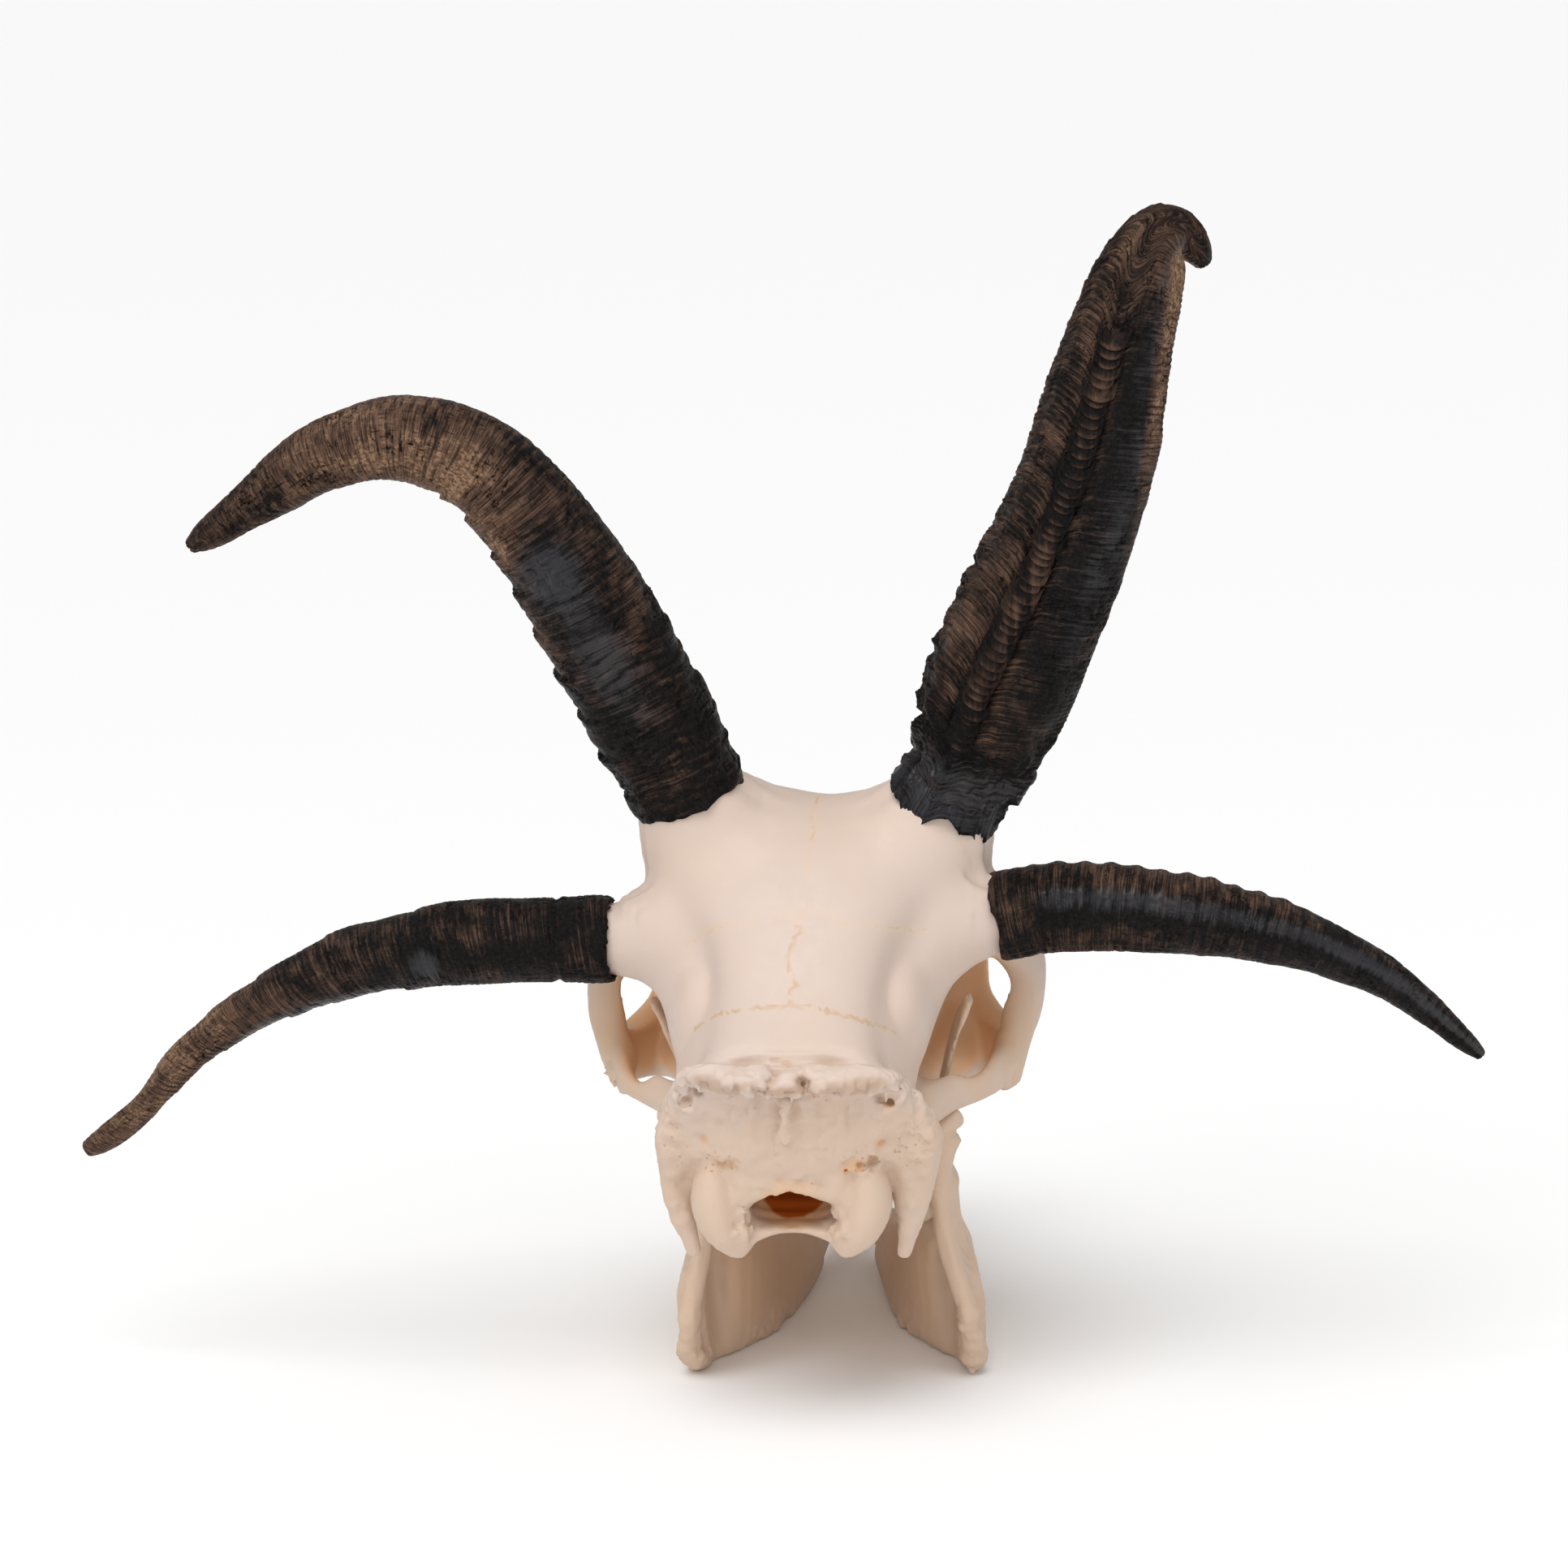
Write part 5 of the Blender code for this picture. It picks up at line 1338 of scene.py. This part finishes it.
def ring_tree():
    """Geometry nodes that raise growth rings, fibres and cracks on a sheath and keep their height."""
    nodes, wires = start_tree("growth_rings", "Sheath", "Sheath", (
        ("Ring spacing", 0.0024), ("Ring height", 0.0004), ("Fibre height", 0.0002),
        ("Crack depth", 0.0004), ("Wander", 1.0), ("Seed", 1.0)))
    sheath, spacing, height, fibre, depth, wander, seed, horn = wires
    straight, course = read(nodes, "straight", 'FLOAT_VECTOR'), read(nodes, "course")
    x, y = parts(nodes, straight, "XY")
    ringed = nodes.make("ShaderNodeCombineXYZ", None, {0: x, 1: y, 2: course})

    def cloud(vector, stretch, detail):
        """Cloudy values stretched along and across the horn."""
        return nodes.make("ShaderNodeTexNoise", {"noise_dimensions": '4D'},
                          {"Vector": nodes.stretch(vector, stretch), "W": seed, "Scale": 1.0,
                           "Detail": detail})

    def crack(value, width):
        """Thin lines where cloudy values pass their middle."""
        away = nodes.make("ShaderNodeMath", {"operation": 'ABSOLUTE'}, {0: value - 0.5})
        return nodes.step(away, width, 0.0)

    phase = course / spacing + (cloud(ringed, (75, 75, 45), 2.0) - 0.5) * wander
    share = nodes.make("ShaderNodeMath", {"operation": 'FRACT'}, {0: phase})
    whole = nodes.make("ShaderNodeMath", {"operation": 'FLOOR'}, {0: phase})
    size = nodes.make("ShaderNodeTexWhiteNoise", {"noise_dimensions": '1D'}, {"W": whole + seed},
                      out="Value")
    ridge = nodes.step(share, 0.0, 0.55) * nodes.step(share, 1.0, 0.80)
    local = nodes.step(cloud(ringed, (120, 120, 60), 2.0), 0.35, 0.65, 0.35, 1.0)
    ring = (ridge - 1.0) * (size * 0.85 + 0.15) * local * height
    fine = (cloud(ringed, (70, 70, 900), 2.0) - 0.5) * height * 0.9
    strand = (cloud(straight, (1000, 1000, 60), 3.0) - 0.5) * fibre
    cracks = (crack(cloud(ringed, (85, 85, 420), 3.0), 0.020)
              * nodes.step(cloud(straight, (90, 90, 70), 1.0), 0.46, 0.60)
              + crack(cloud(straight, (420, 420, 60), 2.0), 0.016)
              * nodes.step(cloud(straight, (70, 70, 50), 1.0), 0.56, 0.44) * 0.7)
    rise = ring + fine + strand - cracks * depth - height * 0.3
    normal = nodes.make("GeometryNodeInputNormal")
    push = nodes.make("ShaderNodeVectorMath", {"operation": 'SCALE'}, {0: normal, "Scale": rise})
    kept = keep(nodes, sheath, "rise", (ring + fine) / height)
    torn = keep(nodes, kept, "crack", cracks)
    moved = nodes.make("GeometryNodeSetPosition", None, {"Geometry": torn, "Offset": push})
    return end_tree(nodes, nodes.make("GeometryNodeRealizeInstances", None, {0: moved}), horn)


def run_tree(piece, tree, values):
    """Run a geometry node tree on a piece with named values and keep the plain mesh."""
    modifier = piece.modifiers.new(tree.name, 'NODES')
    modifier.node_group = tree
    for item in tree.interface.items_tree:
        if item.in_out == 'INPUT' and item.name in values:
            modifier[item.identifier] = values[item.name]
    return settle(piece)


def horn_material(name):
    """Dark keratin: near-black, brown where it is worn, cracked, fibrous, with a dull coat and painted
    sheen; painted light on ring crests, painted shade in cracks and valleys.
    """
    material, nodes, shader = new_material(name)
    straight = nodes.make("ShaderNodeAttribute", {"attribute_name": "straight"}, out="Vector")
    marks = [nodes.mark(mark) for mark in ("rise", "crack", "course", "brown", "sheen")]
    rise, split, course, brown, sheen = marks
    x, y = parts(nodes, straight, "XY")
    ringed = nodes.make("ShaderNodeCombineXYZ", None, {0: x, 1: y, 2: course})
    patch = nodes.noise(nodes.stretch(ringed, (120, 120, 100)), 1.0, 5.0, 0.7)
    strand = nodes.noise(nodes.stretch(straight, (1700, 1700, 420)), 1.0, 3.0, 0.6)
    band = nodes.noise(nodes.stretch(ringed, (110, 110, 2100)), 1.0, 4.0, 0.7)
    fleck = nodes.noise(nodes.stretch(straight, (1300, 1300, 900)), 1.0, 3.0, 0.65)
    black = nodes.tint(nodes.step(fleck, 0.42, 0.68), (0.0022, 0.0016, 0.0015, 1),
                       (0.0090, 0.0060, 0.0054, 1))
    umber = nodes.tint(nodes.step(band, 0.36, 0.64), (0.028, 0.014, 0.0095, 1), (0.140, 0.078, 0.050, 1))
    tan = nodes.tint(nodes.step(fleck, 0.38, 0.62), (0.110, 0.058, 0.033, 1), (0.380, 0.232, 0.138, 1))
    # The rise term makes ring crests browner and valleys darker: painted light and shade following the
    # relief.
    amount = brown + (patch - 0.5) * 2.0 + (strand - 0.5) * 0.30 + (band - 0.5) * 1.0 + (rise + 0.35) * 0.50
    colour = nodes.tint(nodes.step(amount, 0.18, 1.05), black, umber)
    colour = nodes.tint(nodes.step(amount, 0.90, 1.50, 0.0, 0.8), colour, tan)
    # Where sheen is marked, and more on ring crests, the horn gets a coat and a painted bluish-grey sheen in
    # its colour.
    gloss_and_painted_sheen = nodes.step(sheen + (patch - 0.5) * 1.4 + (band - 0.5) * 1.6 + (rise + 0.3) * 0.5, 0.40, 1.1,
                       0.0, 1.0)
    colour = nodes.tint(gloss_and_painted_sheen * 0.7, colour, (0.016, 0.016, 0.021, 1))
    # Cracks and the deepest ring valleys go near-black: painted shade.
    colour = nodes.tint(nodes.step(split, 0.15, 0.8, 0.0, 0.9), colour, (0.0015, 0.001, 0.001, 1))
    colour = nodes.tint(nodes.step(rise, -0.5, -1.1, 0.0, 0.8), colour, (0.0025, 0.002, 0.0017, 1))
    rough = nodes.step(fleck, 0.3, 0.75, 0.56, 0.34) + (band - 0.5) * 0.20 - gloss_and_painted_sheen * 0.06
    relief = strand * 0.5 + band * 0.6 + fleck * 0.5
    bump = nodes.make("ShaderNodeBump", None, {"Strength": 1.0, "Distance": 0.0006, "Height": relief})
    nodes.feed(shader, {"Base Color": colour, "Roughness": rough, "Coat Weight": gloss_and_painted_sheen * 0.5,
                        "Coat Roughness": 0.24, "Specular IOR Level": 0.11, "Normal": bump})
    return material


HORN_LOOKS = {
    "upper_left": (upper_left_rim, upper_left_relief, upper_left_course, upper_left_tone,
                   {"Ring spacing": 0.0031, "Ring height": 0.00038, "Fibre height": 0.00022,
                    "Crack depth": 0.0006, "Wander": 3.4, "Seed": 3.0}),
    "upper_right": (upper_right_rim, upper_right_relief, upper_right_course, upper_right_tone,
                    {"Ring spacing": 0.0018, "Ring height": 0.00040, "Fibre height": 0.00020,
                     "Crack depth": 0.0006, "Wander": 2.2, "Seed": 7.0}),
    "lower_left": (lower_left_rim, lower_left_relief, lower_left_course, lower_left_tone,
                   {"Ring spacing": 0.0019, "Ring height": 0.00024, "Fibre height": 0.00022,
                    "Crack depth": 0.0004, "Wander": 1.6, "Seed": 11.0}),
    "lower_right": (lower_right_rim, lower_right_relief, lower_right_course, lower_right_tone,
                    {"Ring spacing": 0.0033, "Ring height": 0.00018, "Fibre height": 0.00022,
                     "Crack depth": 0.0003, "Wander": 1.6, "Seed": 15.0}),
}
growth_rings = ring_tree()
dark_keratin = horn_material("dark_keratin")
for horn_name, (rim, relief, course, tone, values) in HORN_LOOKS.items():
    sheath = horn_mesh("horn_" + horn_name + "_sheath", HORNS[horn_name], rim, relief, course, tone)
    run_tree(sheath, growth_rings, {**values, "Horn": dark_keratin})
    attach(sheath, "root")
    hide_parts("horn_" + horn_name)


# The scales in the groove
# Small cupped scales of the same keratin, each hanging over the one below it. They grew in a row
# in the groove on the rear face of the upper right horn.

def scale_tree():
    """Geometry nodes that hang one thin cupped scale over another along a row of places."""
    nodes, wires = start_tree("groove_scales", "Places", "Scales", (
        ("Width", 0.0080), ("Length", 0.0046), ("Thickness", 0.0006), ("Sag", 0.0022), ("Cup", 0.0013),
        ("Lift", 0.28), ("Seed", 1.0)))
    places, width, length, thick, sag, cup, lift, seed, horn = wires
    block = nodes.make("ShaderNodeCombineXYZ", None, {0: width, 1: length, 2: thick})
    plate = nodes.make("GeometryNodeMeshCube", None,
                       {"Size": block, "Vertices X": 9, "Vertices Y": 5, "Vertices Z": 2})
    x, y, z = parts(nodes, nodes.make("GeometryNodeInputPosition"), "XYZ")
    across = x * 2.0 / width
    bow = across * across
    shape = nodes.make("ShaderNodeCombineXYZ", None, {0: x, 1: y + bow * sag, 2: z + bow * cup - y * lift})
    shaped = nodes.make("GeometryNodeSetPosition", None, {"Geometry": plate, "Position": shape})
    edged = keep(nodes, shaped, "edge", nodes.step(y / length, -0.1, -0.5))
    out, lie = read(nodes, "out", 'FLOAT_VECTOR'), read(nodes, "lie", 'FLOAT_VECTOR')
    upright = nodes.make("FunctionNodeAlignRotationToVector", {"axis": 'Z'}, {"Vector": out})
    turned_on = nodes.make("FunctionNodeAlignRotationToVector", {"axis": 'Y', "pivot_axis": 'Z'},
                           {"Rotation": upright, "Vector": lie})
    index = nodes.make("GeometryNodeInputIndex")
    chance = nodes.make("ShaderNodeTexWhiteNoise", {"noise_dimensions": '1D'},
                        {"W": index * 1.37 + seed}, out="Value")
    hung = nodes.make("GeometryNodeInstanceOnPoints", None,
                      {"Points": places, "Instance": edged, "Rotation": turned_on,
                       "Scale": chance * 0.35 + 0.8})
    real = nodes.make("GeometryNodeRealizeInstances", None, {0: hung})
    toned = keep(nodes, real, "brown", read(nodes, "brown") + read(nodes, "edge") * 0.6)
    final = nodes.make("GeometryNodeInputPosition")
    return end_tree(nodes, keep(nodes, toned, "straight", final, 'FLOAT_VECTOR'), horn)


def groove_places(name, stations, relief):
    """A row of points up the groove, each with the way out of the horn and the way along it."""
    length, table = horn_frames(stations, HORN_STEPS)
    full = length[-1]
    along = np.arange(27.0, full * 0.75, 2.6)
    along = along + 0.6 * grain(np.stack([along, along * 0, along * 0], 1), 4.0, 59)
    angle = GROOVE_ANGLE + GROOVE_TURN * along / full
    radius = table[:, 9:11].mean() * 1.15
    straight = np.stack([np.cos(angle) * radius, np.sin(angle) * radius, along], 1)
    swell = relief(along, angle, straight, full) + 0.5
    places = horn_ring(length, table, along, angle, swell)
    out = unit(horn_ring(length, table, along, angle, swell + 1.0) - places)
    lie = unit(horn_ring(length, table, along + 1.0, angle, swell) - places)
    mesh = bpy.data.meshes.new(name)
    mesh.from_pydata(to_row(places).tolist(), [], [])
    write_vectors(mesh, "out", out)
    write_vectors(mesh, "lie", lie)
    write_mark(mesh, "brown", -0.12 + 0.26 * along / full + 0.36 * grain(straight, 6.0, 60))
    # A little sheen: a thin coat and a faint painted bluish-grey sheen.
    write_mark(mesh, "sheen", along * 0 + 0.1)
    return new_object(name, mesh)


scales = groove_places("horn_upper_right_scales", HORNS["upper_right"], upper_right_relief)
run_tree(scales, scale_tree(), {"Seed": 5.0, "Horn": dark_keratin})
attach(scales, "root")
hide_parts("horn_upper_right")


# The setting
# A pale floor in an even room, lit by a broad sun and three soft panels. The camera stands behind
# the skull and a little above it, as in the photograph.

FLOOR_SIZE, ROOM_LIGHT = 60.0, 0.52
EYE = Vector((-0.12855, 1.48801, 0.43747))
LOOK_AT = Vector((-0.00596, 0.0469, 0.16633))
ROLL, LENS, SENSOR = math.radians(-1.21), 125.18, 36.0

bpy.ops.mesh.primitive_plane_add(size=FLOOR_SIZE)
floor = bpy.context.object
floor.name = "floor"
paint, nodes, shader = new_material("pale_floor")
nodes.feed(shader, {"Base Color": (0.97, 0.97, 0.97, 1), "Roughness": 0.9})
floor.data.materials.append(paint)

world = bpy.data.worlds.new("soft_room")
world.use_nodes = True
Nodes(world.node_tree).feed(world.node_tree.nodes["Background"],
                            {"Color": (1.0, 1.0, 1.0, 1), "Strength": ROOM_LIGHT})
bpy.context.scene.world = world
bpy.context.scene.view_settings.view_transform = 'Standard'


def lamp(name, kind, energy, place, target, **settings):
    """One soft light, turned to face a place."""
    data = bpy.data.lights.new(name, kind)
    data.energy = energy
    for key, value in settings.items():
        setattr(data, key, value)
    made = new_object(name, data)
    made.location = place
    made.rotation_euler = (Vector(target) - Vector(place)).to_track_quat('-Z', 'Y').to_euler()


lamp("overhead", 'SUN', 1.72, (0.25, 0.75, 1.6), (0, 0, 0.15), angle=math.radians(45))
lamp("left_panel", 'AREA', 2.2, (0.9, 1.1, 0.9), (0, 0, 0.2), size=0.6)
lamp("right_panel", 'AREA', 1.2, (-1.1, 0.9, 0.8), (0, 0, 0.2), size=0.5)
lamp("rear_panel", 'AREA', 2.6, (-0.15, 1.6, 0.5), (0, 0, 0.1), size=0.7)

camera_data = bpy.data.cameras.new("camera")
camera_data.sensor_width = SENSOR
camera_data.lens = LENS
camera_data.clip_end = 100.0
camera = new_object("camera", camera_data)
ahead = (LOOK_AT - EYE).normalized()
level = ahead.cross(Vector((0, 0, 1))).normalized()
rise = level.cross(ahead)
right = level * math.cos(ROLL) + rise * math.sin(ROLL)
above = rise * math.cos(ROLL) - level * math.sin(ROLL)
turn = Matrix((right, above, -ahead)).transposed().to_4x4()
camera.matrix_world = Matrix.Translation(EYE) @ turn
bpy.context.scene.camera = camera
